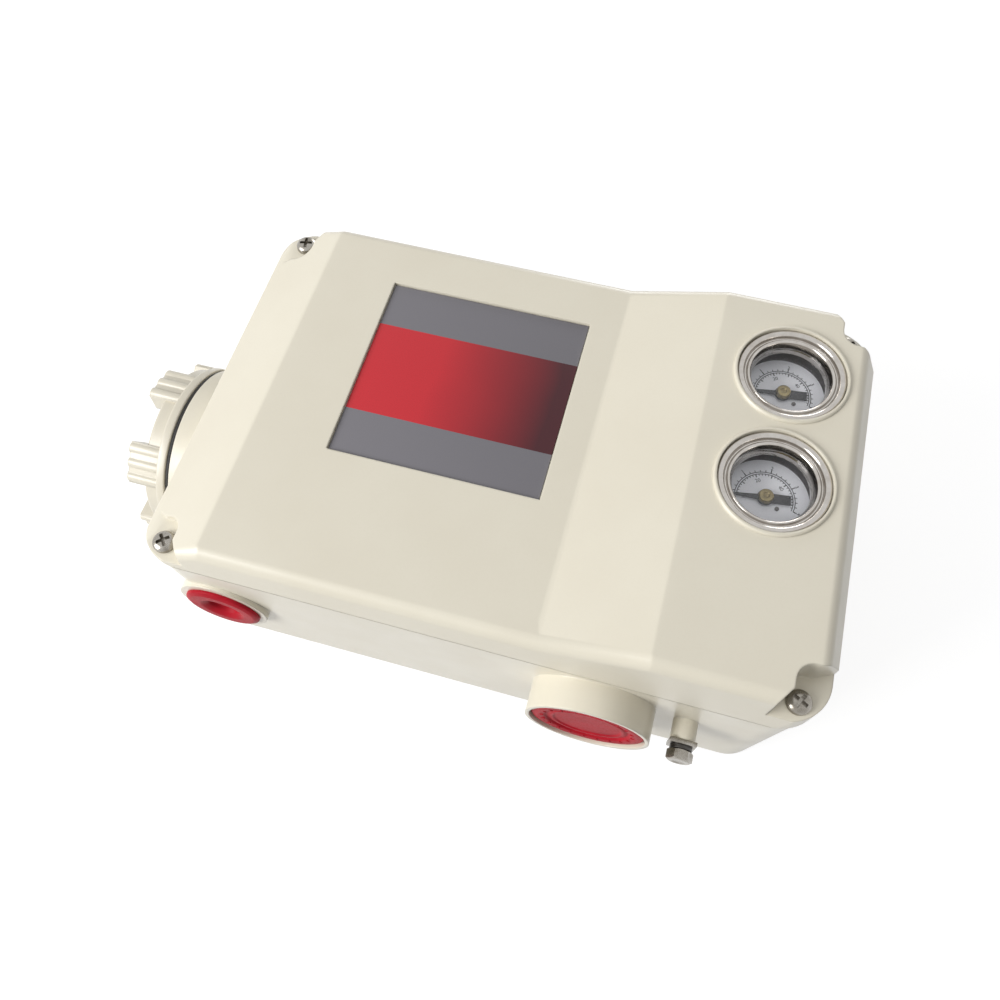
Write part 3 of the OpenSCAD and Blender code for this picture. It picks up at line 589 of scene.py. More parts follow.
@dataclass(frozen=True)
class PaintFinish:
    """Semi-gloss baked paint on a casting: a little uneven in tone, with a faint orange peel."""

    name: str
    colour: Colour
    shade: Colour
    gloss: float = 0.34
    cloud_size: float = 38.0
    grain_size: float = 0.9
    smear_size: float = 14.0
    peel_size: float = 2.4
    peel_depth: float = 0.008
    rounding: float = 0.9
    coat: float = 0.25
    coat_roughness: float = 0.28

    def material(self) -> bpy.types.Material:
        """Builds the finish's material.

        Returns:
            The material.
        """
        shade = Shade(self.name)
        cloud = shade.noise(self.cloud_size, 3.0, 0.55)
        grain = shade.noise(self.grain_size, 2.0, 0.6)
        base = shade.blend(shade.scaled(cloud, 0.0, 0.55, 0.35, 0.7), self.colour, self.shade)
        base = shade.blend(shade.scaled(grain, 0.0, 0.22, 0.45, 0.75), base, self.shade)
        shade.put("Base Color", base)
        smear = shade.noise(self.smear_size, 3.0, 0.6)
        shade.put("Roughness", shade.scaled(smear, self.gloss - 0.04, self.gloss + 0.06, 0.3, 0.7))
        shade.relief(shade.noise(self.peel_size, 1.5, 0.45), self.peel_depth, 0.5, self.rounding)
        shade.put("Coat Weight", self.coat)
        shade.put("Coat Roughness", self.coat_roughness)
        return shade.material


@dataclass(frozen=True)
class MetalFinish:
    """Bare or plated metal with fine tool marks along one direction."""

    name: str
    colour: Colour
    worn: Colour
    gloss: float
    spread: float = 0.12
    marks: tuple[float, float, float] = (1.0, 1.0, 8.0)
    mark_size: float = 0.5
    mark_depth: float = 0.006
    rounding: float = 0.15
    stain_size: float = 5.0

    def material(self) -> bpy.types.Material:
        """Builds the finish's material.

        Returns:
            The material.
        """
        shade = Shade(self.name)
        lines = shade.noise(self.mark_size, 3.0, 0.6, shade.spread(self.marks))
        stain = shade.noise(self.stain_size, 4.0, 0.6)
        base = shade.blend(shade.scaled(stain, 0.0, 0.8, 0.42, 0.72), self.colour, self.worn)
        shade.put("Base Color", shade.blend(shade.scaled(lines, 0.0, 0.3, 0.4, 0.7), base, self.worn))
        shade.put("Metallic", 1.0)
        shade.put("Roughness", shade.scaled(lines, self.gloss, self.gloss + self.spread, 0.3, 0.7))
        shade.relief(lines, self.mark_depth, 0.5, self.rounding)
        return shade.material


@dataclass(frozen=True)
class MouldedFinish:
    """Moulded plastic, rubber or matt print, with a fine grain."""

    name: str
    colour: Colour
    shade: Colour
    gloss: float
    grain_size: float = 0.5
    grain_depth: float = 0.01
    rounding: float = 0.2
    shine: float = 0.5
    cloud_size: float = 9.0

    def material(self) -> bpy.types.Material:
        """Builds the finish's material.

        Returns:
            The material.
        """
        shade = Shade(self.name)
        cloud = shade.noise(self.cloud_size, 4.0, 0.6)
        grain = shade.noise(self.grain_size, 2.0, 0.5)
        base = shade.blend(shade.scaled(cloud, 0.0, 0.8, 0.35, 0.7), self.colour, self.shade)
        shade.put("Base Color", base)
        shade.put("Roughness", shade.scaled(grain, self.gloss - 0.05, self.gloss + 0.08, 0.3, 0.7))
        shade.put("Specular IOR Level", self.shine)
        shade.relief(grain, self.grain_depth, 0.5, self.rounding)
        return shade.material


@dataclass(frozen=True)
class LabelFinish:
    """Printed label with two grey bands and a red band that darkens to the right."""

    name: str
    low: Flat
    high: Flat
    grey: Colour
    red: Colour
    maroon: Colour
    top_share: float = 0.25
    foot_share: float = 0.24
    fade: Flat = (0.36, 0.92)
    wash_size: float = 45.0
    fleck_size: float = 0.35
    grain_size: float = 1.1
    grain_depth: float = 0.006
    shine: float = 0.3

    def material(self) -> bpy.types.Material:
        """Builds the finish's material.

        Returns:
            The material.
        """
        shade = Shade(self.name)
        axes = shade.axes()
        across = shade.scaled(axes["X"], 0.0, 1.0, self.low[0] * MM, self.high[0] * MM)
        height = self.high[1] - self.low[1]
        top = (self.high[1] - height * self.top_share) * MM
        foot = (self.low[1] + height * self.foot_share) * MM
        wash = shade.noise(self.wash_size, 2.0, 0.5)
        drift = shade.sums("ADD", across, shade.scaled(wash, -0.03, 0.03, 0.3, 0.7))
        dark = shade.scaled(drift, 0.0, 1.0, *self.fade)
        fleck = shade.noise(self.fleck_size, 2.0, 0.7)
        red = shade.blend(dark, self.red, self.maroon)
        red = shade.blend(shade.scaled(fleck, 0.0, 0.3, 0.5, 0.8), red, self.maroon)
        deep = tuple(0.72 * value for value in self.grey)
        grey = shade.blend(shade.scaled(fleck, 0.0, 0.25, 0.45, 0.8), self.grey, deep)
        above = shade.sums("GREATER_THAN", axes["Y"], top)
        below = shade.sums("LESS_THAN", axes["Y"], foot)
        band = shade.sums("MAXIMUM", above, below)
        shade.put("Base Color", shade.blend(band, red, grey))
        shade.put("Roughness", shade.scaled(wash, 0.3, 0.4, 0.3, 0.7))
        shade.put("Specular IOR Level", self.shine)
        shade.relief(shade.noise(self.grain_size, 2.0), self.grain_depth, 0.4)
        return shade.material


@dataclass(frozen=True)
class LensFinish:
    """Clear lens: a weak mirror over what lies behind it."""

    name: str
    colour: Colour
    cover: float = 0.035
    smear_size: float = 6.0

    def material(self) -> bpy.types.Material:
        """Builds the finish's material.

        Returns:
            The material.
        """
        shade = Shade(self.name)
        smear = shade.noise(self.smear_size, 4.0, 0.6)
        pale = tuple(min(1.0, 1.06 * value) for value in self.colour)
        shade.put("Base Color", shade.blend(smear, self.colour, pale))
        shade.put("Metallic", 1.0)
        shade.put("Roughness", shade.scaled(smear, 0.03, 0.09, 0.3, 0.7))
        shade.put("Alpha", self.cover)
        return shade.material


@dataclass(frozen=True)
class BoardFinish:
    """Green solder mask over copper tracks."""

    name: str
    colour: Colour
    track: Colour
    pitch: float = 5.0
    track_width: float = 0.035
    track_height: float = 0.03
    region_size: float = 20.0
    mottle_size: float = 0.8

    def material(self) -> bpy.types.Material:
        """Builds the finish's material.

        Returns:
            The material.
        """
        shade = Shade(self.name)
        cells = shade.tree.nodes.new("ShaderNodeTexBrick")
        shade.feed(cells.inputs["Vector"], shade.place)
        cells.inputs["Scale"].default_value = 1 / (self.pitch * MM)
        cells.inputs["Mortar Size"].default_value = self.track_width
        regions = shade.scaled(shade.noise(self.region_size), 0.0, 1.0, 0.45, 0.5)
        tracks = shade.sums("MULTIPLY", cells.outputs["Fac"], regions)
        mottle = shade.noise(self.mottle_size, 2.0)
        dull = tuple(0.75 * value for value in self.colour)
        mask = shade.blend(shade.scaled(mottle, 0.0, 0.6, 0.35, 0.7), self.colour, dull)
        shade.put("Base Color", shade.blend(tracks, mask, self.track))
        shade.put("Roughness", shade.scaled(mottle, 0.3, 0.45, 0.3, 0.7))
        shade.relief(tracks, self.track_height, 0.6)
        return shade.material


@dataclass(frozen=True)
class WindingFinish:
    """Enamelled wire laid in close turns along the coil's axis, with painted shade in the grooves between
    turns.
    """

    name: str
    colour: Colour
    gap: Colour
    wire: float = 0.4
    wire_relief: float = 0.1

    def material(self) -> bpy.types.Material:
        """Builds the finish's material.

        Returns:
            The material.
        """
        shade = Shade(self.name)
        turns = shade.tree.nodes.new("ShaderNodeTexWave")
        turns.bands_direction = "Z"
        shade.feed(turns.inputs["Vector"], shade.place)
        period_at_scale_1 = 0.314
        turns.inputs["Scale"].default_value = period_at_scale_1 / (self.wire * MM)
        # The gap colour is painted shade: it darkens the grooves between the wire's turns.
        shade.put("Base Color", shade.blend(turns.outputs["Fac"], self.gap, self.colour))
        shade.put("Metallic", 0.7)
        shade.put("Roughness", shade.scaled(turns.outputs["Fac"], 0.45, 0.28))
        shade.relief(turns.outputs["Fac"], self.wire_relief)
        return shade.material


class Finishes:
    """The finish of each material slot, built once."""

    def __init__(self) -> None:
        """Builds every finish."""
        grey, red, maroon = tone(118, 116, 121), tone(194, 46, 54), tone(74, 34, 40)
        made = {
            Slot.PAINT: PaintFinish("cream_paint", tone(222, 216, 199), tone(216, 209, 191)),
            Slot.RUBBER: MouldedFinish("black_rubber", tone(30, 29, 28), tone(44, 42, 40), 0.62),
            Slot.STEEL: MetalFinish("zinc_plated_steel", tone(174, 170, 163), tone(112, 105, 93), 0.2),
            Slot.LABEL: LabelFinish("printed_label", (-63.2, -23.5), (14.0, 52.3), grey, red, maroon),
            Slot.CHROME: MetalFinish(
                name="polished_chrome",
                colour=tone(196, 192, 187),
                worn=tone(178, 172, 165),
                gloss=0.11,
                spread=0.05,
                marks=(1, 1, 1),
                mark_size=2.0,
                mark_depth=0.004,
            ),
            Slot.LENS: LensFinish("clear_lens", (0.9, 0.92, 0.96)),
            Slot.DIAL: MouldedFinish(
                name="dial_face",
                colour=tone(246, 247, 252),
                shade=tone(240, 241, 248),
                gloss=0.42,
                grain_size=0.4,
                grain_depth=0.004,
            ),
            # The dial ring is near-black: a dark ring colour that also paints the shade on the gauge's
            # inner wall below the lens.
            Slot.RING: MouldedFinish("black_ring_painted_shade", tone(34, 32, 34), tone(52, 47, 46), 0.4),
            Slot.POINTER: MouldedFinish(
                name="pointer_paint",
                colour=tone(20, 20, 22),
                shade=tone(32, 31, 32),
                gloss=0.45,
                grain_size=0.3,
                grain_depth=0.005,
            ),
            Slot.BRASS: MetalFinish("turned_brass", tone(152, 138, 98), tone(96, 84, 54), 0.28),
            Slot.ALUMINIUM: MetalFinish(
                name="machined_aluminium",
                colour=tone(198, 197, 192),
                worn=tone(160, 158, 152),
                gloss=0.3,
            ),
            Slot.RED: MouldedFinish(
                name="red_polyethylene",
                colour=tone(178, 32, 45),
                shade=tone(150, 21, 35),
                gloss=0.42,
                grain_size=0.7,
                grain_depth=0.012,
                rounding=0.4,
                shine=0.07,
            ),
            Slot.SPRING: MetalFinish("dark_spring_steel", tone(92, 90, 88), tone(54, 51, 48), 0.3),
            Slot.PLASTIC: MouldedFinish("black_plastic", tone(40, 40, 42), tone(56, 55, 55), 0.48),
            Slot.BOARD: BoardFinish("green_board", tone(34, 104, 62), tone(86, 150, 88)),
            Slot.CONNECTOR: MouldedFinish("white_plastic", tone(226, 223, 212), tone(210, 206, 192), 0.4),
            Slot.COPPER: WindingFinish("copper_winding", tone(186, 112, 62), tone(84, 40, 20)),
            Slot.BLUE: MouldedFinish("blue_plastic", tone(48, 84, 130), tone(40, 70, 110), 0.4),
        }
        self.materials = {slot: finish.material() for slot, finish in made.items()}
        # The cap gets a darker, greyer copy of the cream paint, so that it reads darker than the housing.
        self.cap_paint = PaintFinish("cap_paint", tone(210, 204, 188), tone(203, 196, 179)).material()

    def dress(self, obj: bpy.types.Object, slot: Slot) -> bpy.types.Object:
        """Gives an object one slot's finish.

        Args:
            obj: The object.
            slot: Its material slot.

        Returns:
            The same object.
        """
        obj.data.materials.clear()
        obj.data.materials.append(self.materials[slot])
        return obj


class Repeats:
    """Geometry Nodes trees that repeat one shape on an arc or at points, or wind a wire."""

    def __init__(self) -> None:
        """Builds the three trees."""
        self.arc = self._arc_tree()
        self.points = self._point_tree()
        self.coil = self._coil_tree()

    @staticmethod
    def _sockets(tree: bpy.types.NodeTree, inputs: Sequence[tuple[str, str]]) -> None:
        """Adds a tree's named inputs and its output.

        Args:
            tree: The tree.
            inputs: The name and kind of each input.
        """
        for name, kind in inputs:
            tree.interface.new_socket(name=name, in_out="INPUT", socket_type=kind)
        tree.interface.new_socket(name="Geometry", in_out="OUTPUT", socket_type="NodeSocketGeometry")

    @staticmethod
    def _end(
        tree: bpy.types.NodeTree, geometry: bpy.types.NodeSocket, given: bpy.types.Node
    ) -> None:
        """Makes a tree's result one plain mesh with a finish.

        Args:
            tree: The tree.
            geometry: Its result.
            given: The tree's input node.
        """
        whole = tree.nodes.new("GeometryNodeRealizeInstances")
        finish = tree.nodes.new("GeometryNodeSetMaterial")
        end = tree.nodes.new("NodeGroupOutput")
        tree.links.new(geometry, whole.inputs[0])
        tree.links.new(whole.outputs[0], finish.inputs["Geometry"])
        tree.links.new(given.outputs["Finish"], finish.inputs["Material"])
        tree.links.new(finish.outputs[0], end.inputs[0])

    def _close(
        self,
        tree: bpy.types.NodeTree,
        points: bpy.types.NodeSocket,
        angle: bpy.types.NodeSocket,
        given: bpy.types.Node,
    ) -> None:
        """Sets the shape on the points, turned by an angle, and ends the tree.

        Args:
            tree: The tree.
            points: The points.
            angle: The angle about the tree's Z axis at each point.
            given: The tree's input node.
        """
        nodes, links = tree.nodes, tree.links
        shape = nodes.new("GeometryNodeObjectInfo")
        euler = nodes.new("ShaderNodeCombineXYZ")
        turn = nodes.new("FunctionNodeEulerToRotation")
        copies = nodes.new("GeometryNodeInstanceOnPoints")
        links.new(given.outputs["Shape"], shape.inputs["Object"])
        links.new(angle, euler.inputs["Z"])
        links.new(euler.outputs[0], turn.inputs[0])
        links.new(points, copies.inputs["Points"])
        links.new(shape.outputs["Geometry"], copies.inputs["Instance"])
        links.new(turn.outputs[0], copies.inputs["Rotation"])
        self._end(tree, copies.outputs["Instances"], given)

    def _arc_tree(self) -> bpy.types.NodeTree:
        """Builds the tree for copies along an arc.

        Returns:
            The tree.
        """
        tree = bpy.data.node_groups.new("copies_on_arc", "GeometryNodeTree")
        floats = [(name, "NodeSocketFloat") for name in ("Radius", "Start", "Step")]
        ends = [("Shape", "NodeSocketObject"), ("Finish", "NodeSocketMaterial")]
        inputs = [("Count", "NodeSocketInt"), *floats, ("Centre", "NodeSocketVector"), *ends]
        self._sockets(tree, inputs)
        nodes, links = tree.nodes, tree.links
        given = nodes.new("NodeGroupInput")
        index = nodes.new("GeometryNodeInputIndex")
        angle = nodes.new("ShaderNodeMath")
        angle.operation = "MULTIPLY_ADD"
        links.new(index.outputs[0], angle.inputs[0])
        links.new(given.outputs["Step"], angle.inputs[1])
        links.new(given.outputs["Start"], angle.inputs[2])
        spot = nodes.new("ShaderNodeCombineXYZ")
        for axis, operation in (("X", "COSINE"), ("Y", "SINE")):
            wave = nodes.new("ShaderNodeMath")
            wave.operation = operation
            reach = nodes.new("ShaderNodeMath")
            reach.operation = "MULTIPLY"
            links.new(angle.outputs[0], wave.inputs[0])
            links.new(wave.outputs[0], reach.inputs[0])
            links.new(given.outputs["Radius"], reach.inputs[1])
            links.new(reach.outputs[0], spot.inputs[axis])
        moved = nodes.new("ShaderNodeVectorMath")
        links.new(spot.outputs[0], moved.inputs[0])
        links.new(given.outputs["Centre"], moved.inputs[1])
        points = nodes.new("GeometryNodePoints")
        links.new(given.outputs["Count"], points.inputs["Count"])
        links.new(moved.outputs[0], points.inputs["Position"])
        self._close(tree, points.outputs[0], angle.outputs[0], given)
        return tree

    def _point_tree(self) -> bpy.types.NodeTree:
        """Builds the tree for copies at listed points, each turned by the attribute named turn.

        Returns:
            The tree.
        """
        tree = bpy.data.node_groups.new("copies_at_points", "GeometryNodeTree")
        ends = [("Shape", "NodeSocketObject"), ("Finish", "NodeSocketMaterial")]
        self._sockets(tree, [("Points", "NodeSocketGeometry"), *ends])
        given = tree.nodes.new("NodeGroupInput")
        turn = tree.nodes.new("GeometryNodeInputNamedAttribute")
        turn.data_type = "FLOAT"
        turn.inputs["Name"].default_value = "turn"
        self._close(tree, given.outputs["Points"], turn.outputs["Attribute"], given)
        return tree

    def _coil_tree(self) -> bpy.types.NodeTree:
        """Builds the tree that winds a round wire up a helix about Z.

        Returns:
            The tree.
        """
        tree = bpy.data.node_groups.new("wound_wire", "GeometryNodeTree")
        floats = [(name, "NodeSocketFloat") for name in ("Turns", "Radius", "Height", "Wire")]
        self._sockets(tree, [*floats, ("Foot", "NodeSocketVector"), ("Finish", "NodeSocketMaterial")])
        nodes, links = tree.nodes, tree.links
        given = nodes.new("NodeGroupInput")
        helix = nodes.new("GeometryNodeCurveSpiral")
        helix.inputs["Resolution"].default_value = 40
        for name in ("Start Radius", "End Radius"):
            links.new(given.outputs["Radius"], helix.inputs[name])
        links.new(given.outputs["Turns"], helix.inputs["Rotations"])
        links.new(given.outputs["Height"], helix.inputs["Height"])
        section = nodes.new("GeometryNodeCurvePrimitiveCircle")
        section.inputs["Resolution"].default_value = 14
        links.new(given.outputs["Wire"], section.inputs["Radius"])
        wire = nodes.new("GeometryNodeCurveToMesh")
        wire.inputs["Fill Caps"].default_value = True
        links.new(helix.outputs["Curve"], wire.inputs["Curve"])
        links.new(section.outputs["Curve"], wire.inputs["Profile Curve"])
        moved = nodes.new("GeometryNodeTransform")
        links.new(wire.outputs["Mesh"], moved.inputs["Geometry"])
        links.new(given.outputs["Foot"], moved.inputs["Translation"])
        self._end(tree, moved.outputs["Geometry"], given)
        return tree

    @staticmethod
    def _grow(
        obj: bpy.types.Object, tree: bpy.types.NodeTree, values: dict[str, object]
    ) -> bpy.types.Object:
        """Runs a tree on an object and keeps the plain mesh.

        Args:
            obj: The object that carries the tree.
            tree: The tree.
            values: The tree's inputs by name.

        Returns:
            The object with its plain mesh.
        """
        grown = obj.modifiers.new(tree.name, "NODES")
        grown.node_group = tree
        for item in tree.interface.items_tree:
            if item.in_out == "INPUT" and item.name in values:
                grown[item.identifier] = values[item.name]
        Shop.settle(obj)
        if "Shape" in values:
            bpy.data.objects.remove(values["Shape"])
        return obj

    def on_arc(
        self,
        name: str,
        shape: bpy.types.Object,
        finish: bpy.types.Material,
        count: int,
        radius: float,
        start: float,
        step: float,
        centre: Sequence[float] = (0, 0, 0),
    ) -> bpy.types.Object:
        """Sets copies of a shape along an arc about Z.

        Args:
            name: The new object's name.
            shape: The shape, which is used up.
            finish: The material of the copies.
            count: The number of copies.
            radius: The arc's radius in millimetres.
            start: The first copy's angle in degrees.
            step: The angle in degrees between copies.
            centre: The arc's centre in millimetres.

        Returns:
            The copies as one plain mesh.
        """
        values = {
            "Count": count,
            "Radius": radius * MM,
            "Start": math.radians(start),
            "Step": math.radians(step),
            "Centre": tuple(value * MM for value in centre),
            "Shape": shape,
            "Finish": finish,
        }
        return self._grow(Shop.link(bpy.data.meshes.new(name), name), self.arc, values)

    def at_points(
        self,
        name: str,
        shape: bpy.types.Object,
        finish: bpy.types.Material,
        spots: Sequence[Sequence[float]],
        turns: Sequence[float],
    ) -> bpy.types.Object:
        """Sets copies of a shape at listed points.

        Args:
            name: The new object's name.
            shape: The shape, which is used up.
            finish: The material of the copies.
            spots: The points in millimetres.
            turns: The turn in degrees about Z at each point.

        Returns:
            The copies as one plain mesh.
        """
        mesh = bpy.data.meshes.new(name)
        mesh.from_pydata([tuple(value * MM for value in spot) for spot in spots], [], [])
        turn = mesh.attributes.new("turn", "FLOAT", "POINT")
        for item, angle in zip(turn.data, turns):
            item.value = math.radians(angle)
        return self._grow(Shop.link(mesh, name), self.points, {"Shape": shape, "Finish": finish})

    def wound(
        self,
        name: str,
        finish: bpy.types.Material,
        turns: float,
        radius: float,
        height: float,
        wire: float,
        foot: Sequence[float],
    ) -> bpy.types.Object:
        """Winds a round wire up a helix about Z.

        Args:
            name: The new object's name.
            finish: The wire's material.
            turns: The number of turns.
            radius: The helix's radius in millimetres.
            height: The helix's height in millimetres.
            wire: The wire's radius in millimetres.
            foot: The centre of the helix's lower end in millimetres.

        Returns:
            The wire as one plain mesh.
        """
        values = {
            "Turns": turns,
            "Radius": radius * MM,
            "Height": height * MM,
            "Wire": wire * MM,
            "Foot": tuple(value * MM for value in foot),
            "Finish": finish,
        }
        obj = self._grow(Shop.link(bpy.data.meshes.new(name), name), self.coil, values)
        bm = bmesh.new()
        bm.from_mesh(obj.data)
        bmesh.ops.recalc_face_normals(bm, faces=bm.faces)
        bm.to_mesh(obj.data)
        bm.free()
        return obj


@dataclass
class Kit:
    """What every sub-assembly needs: the CAD nodes, the finishes and the repeating trees."""

    nodes: dict[str, bpy.types.Object]
    finishes: Finishes
    repeats: Repeats

    def fit(self, obj: bpy.types.Object, slot: Slot, body: str, *replaced: str) -> bpy.types.Object:
        """Dresses a new piece, sets it on its body and reports it.

        Args:
            obj: The piece.
            slot: Its material slot.
            body: The CAD body it moves with.
            replaced: The CAD nodes it stands for.

        Returns:
            The piece.
        """
        self.finishes.dress(obj, slot)
        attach(obj, body)
        if replaced:
            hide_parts(*replaced)
        LOG.info("%s rides on %s, %d faces", obj.name, body, len(obj.data.polygons))
        return obj


@dataclass
class Castings:
    """The painted castings with a smooth skin: base housing and stepped cover."""

    seams: Flat = (72.0, 72.6)
    seam_rounding: float = 0.8
    neck_wall: float = -0.75
    crease_rounding: float = 1.2
    crease_angles: Flat = (8.0, 40.0)
    crease_length: float = 20.0

    def _round_seam(self, bm: bmesh.types.BMesh, height: float, necked: bool) -> None:
        """Rounds the outer rim of a casting where it meets the gasket.

        Args:
            bm: The casting's mesh.
            height: The rim's height in millimetres.
            necked: Whether the cap's neck reaches up to the rim, which then stays plain above it.
        """
        rim = []
        for edge in bm.edges:
            off = max(abs(vert.co.z - height * MM) for vert in edge.verts)
            walls = [face for face in edge.link_faces if abs(face.normal.z) < 0.5]
            if off > 0.02 * MM or len(edge.link_faces) != 2 or len(walls) != 1:
                continue
            middle = (edge.verts[0].co + edge.verts[1].co) / 2
            plain = necked and walls[0].normal.x < self.neck_wall
            if walls[0].normal.xy.dot(middle.xy) > 0 and not plain:
                rim.append(edge)
        self._round(bm, rim, self.seam_rounding, 3)

    def _round_creases(self, bm: bmesh.types.BMesh) -> None:
        """Rounds the long hollow crease at the foot of the slope.

        Args:
            bm: The cover's mesh.
        """
        low, high = (math.radians(angle) for angle in self.crease_angles)
        found = []
        for edge in bm.edges:
            hollow = len(edge.link_faces) == 2 and not edge.is_convex
            long = edge.calc_length() >= self.crease_length * MM
            if hollow and long and low < edge.calc_face_angle(0.0) < high:
                found.append(edge)
        self._round(bm, found, self.crease_rounding, 5)

    @staticmethod
    def _round(
        bm: bmesh.types.BMesh, edges: list[bmesh.types.BMEdge], width: float, steps: int
    ) -> None:
        """Rounds listed edges.

        Args:
            bm: The mesh.
            edges: The edges.
            width: The width of the rounding in millimetres.
            steps: The number of faces across the rounding.
        """
        verts = list({vert for edge in edges for vert in edge.verts})
        bmesh.ops.bevel(
            bm,
            geom=[*edges, *verts],
            offset=width * MM,
            offset_type="OFFSET",
            segments=steps,
            profile=0.5,
            affect="EDGES",
            clamp_overlap=False,
        )

    def build(self, kit: Kit) -> None:
        """Builds the castings from merged copies of their CAD nodes.

        Args:
            kit: The shared kit.
        """
        rows = (("base_housing", "housing_shell", "base"), ("cover", "cover_shell", "cover"))
        for (node, name, body), height in zip(rows, self.seams):
            piece = Shop.copy_of(kit.nodes[node], name)
            bm = bmesh.new()
            bm.from_mesh(piece.data)
            self._round_seam(bm, height, body == "base")
            if body == "cover":
                self._round_creases(bm)
            bm.to_mesh(piece.data)
            bm.free()
            kit.fit(Shop.even(piece), Slot.PAINT, body, node)


@dataclass
class CrownCap:
    """The screwed cap of the terminal compartment, with six ribbed grip lugs."""

    back_at: Point = (-128.8, -14.5, 36.68)
    lug_count: int = 6
    lug_start: float = -12.0
    lug_half: float = 14.0
    lug_inner: float = 26.0
    lug_outer: float = 34.2
    lug_low: float = 2.8
    lug_high: float = 15.7
    lug_edge: float = 0.55
    rib_angles: tuple[float, ...] = (-10.0, 0.0, 10.0)
    rib_half: float = 2.9
    rib_height: float = 1.0
    thread_pitch: float = 2.0
    thread_tooth: float = 0.65
    thread_turns: int = 4
    thread_start: float = -2.0
    thread_rounding: float = 0.15
    skirt_radius: float = 29.85
    body: tuple[Corner, ...] = (
        (0, 8.9, 0),
        (23.0, 8.9, 0.5),
        (23.8, 9.5, 0.4),
        (33.4, 9.5, 1.2),
        (33.4, 3.7, 0.5),
        (35.3, 3.7, 0.9),
        (35.3, 0, 0.5),
        (29.85, 0, 0.2),
    )
    mouth: tuple[Corner, ...] = (
        (29.85, -11.8, 0.6),
        (26.0, -11.8, 0.4),
        (26.0, 5.5, 0.8),
        (0, 5.5, 0),
    )

    def _thread(self) -> list[Corner]:
        """Lists the corners of the thread along the skirt.

        Returns:
            The radius, height and rounding at each corner.
        """
        corners: list[Corner] = []
        crest, pitch, rounding = self.skirt_radius, self.thread_pitch, self.thread_rounding
        root = crest - self.thread_tooth
        for turn in range(self.thread_turns):
            start = self.thread_start - turn * pitch
            corners.append((crest, start, rounding))
            corners.append((root, start - 0.4 * pitch, rounding))
            corners.append((root, start - 0.6 * pitch, rounding))
        corners.append((crest, self.thread_start - self.thread_turns * pitch, rounding))
        return corners

    def _lug(self, steps: int = 56, inner_steps: int = 8) -> bpy.types.Object:
        """Makes one lug on the +X side of the cap's axis.

        Args:
            steps: The number of faces along the ribbed side.
            inner_steps: The number of faces along the inner side.

        Returns:
            The lug.
        """
        outline = []
        for step in range(steps + 1):
            angle = -self.lug_half + 2 * self.lug_half * step / steps
            away = min(abs(angle - rib) for rib in self.rib_angles)
            rise = math.sqrt(max(0.0, 1 - (away / self.rib_half) ** 2)) * self.rib_height
            outline.append(Shop.polar(self.lug_outer + rise, angle).xy)
        for step in range(inner_steps + 1):
            angle = self.lug_half * (1 - 2 * step / inner_steps)
            outline.append(Shop.polar(self.lug_inner, angle).xy)
        top, edge = self.lug_high, self.lug_edge
        layers = ((self.lug_low, 0.0), (top - edge, 0.0), (top - 0.3 * edge, 0.3 * edge), (top, edge))
        centre = Vector(((self.lug_inner + self.lug_outer) / 2, 0))
        rows = []
        for height, inset in layers:
            row = []
            for point in outline:
                away = point - centre
                moved = centre + away * (1 - inset / max(away.length, 1.0))
                row.append(Vector((moved.x, moved.y, height)))
            rows.append(row)
        bm = bmesh.new()
        Shop.skin(bm, rows, Matrix.Identity(4))
        return Shop.smooth(Shop.add(bm, "lug_shape"), 40)

    def build(self, kit: Kit) -> None:
        """Builds the cap's turned body and its ring of lugs.

        Args:
            kit: The shared kit.
        """
        place = Facing.LEFT.place(self.back_at)
        bm = bmesh.new()
        corners = [*self.body, *self._thread(), *self.mouth]
        Shop.turn(bm, Shop.rounded(corners, False, 4), place, False, 128)
        turned = Shop.smooth(Shop.add(bm, "crown_cap"), 40)
        kit.fit(turned, Slot.PAINT, "cap", "terminal_cap")
        paint = kit.finishes.cap_paint
        spread = (self.lug_count, 0, self.lug_start, 360 / self.lug_count)
        lugs = kit.repeats.on_arc("crown_lugs", self._lug(), paint, *spread)
        lugs.data.transform(place)
        kit.fit(lugs, Slot.PAINT, "cap")
        for piece in (turned, lugs):
            piece.data.materials[0] = paint


@dataclass
class Nameplate:
    """The printed plate in the recess of the cover."""

    edge: float = 0.2

    def build(self, kit: Kit) -> None:
        """Builds the plate from a rounded copy of its CAD node.

        Args:
            kit: The shared kit.
        """
        piece = Shop.copy_of(kit.nodes["nameplate"], "label_plate")
        Shop.soften(piece, self.edge)
        kit.fit(piece, Slot.LABEL, "cover", "nameplate")


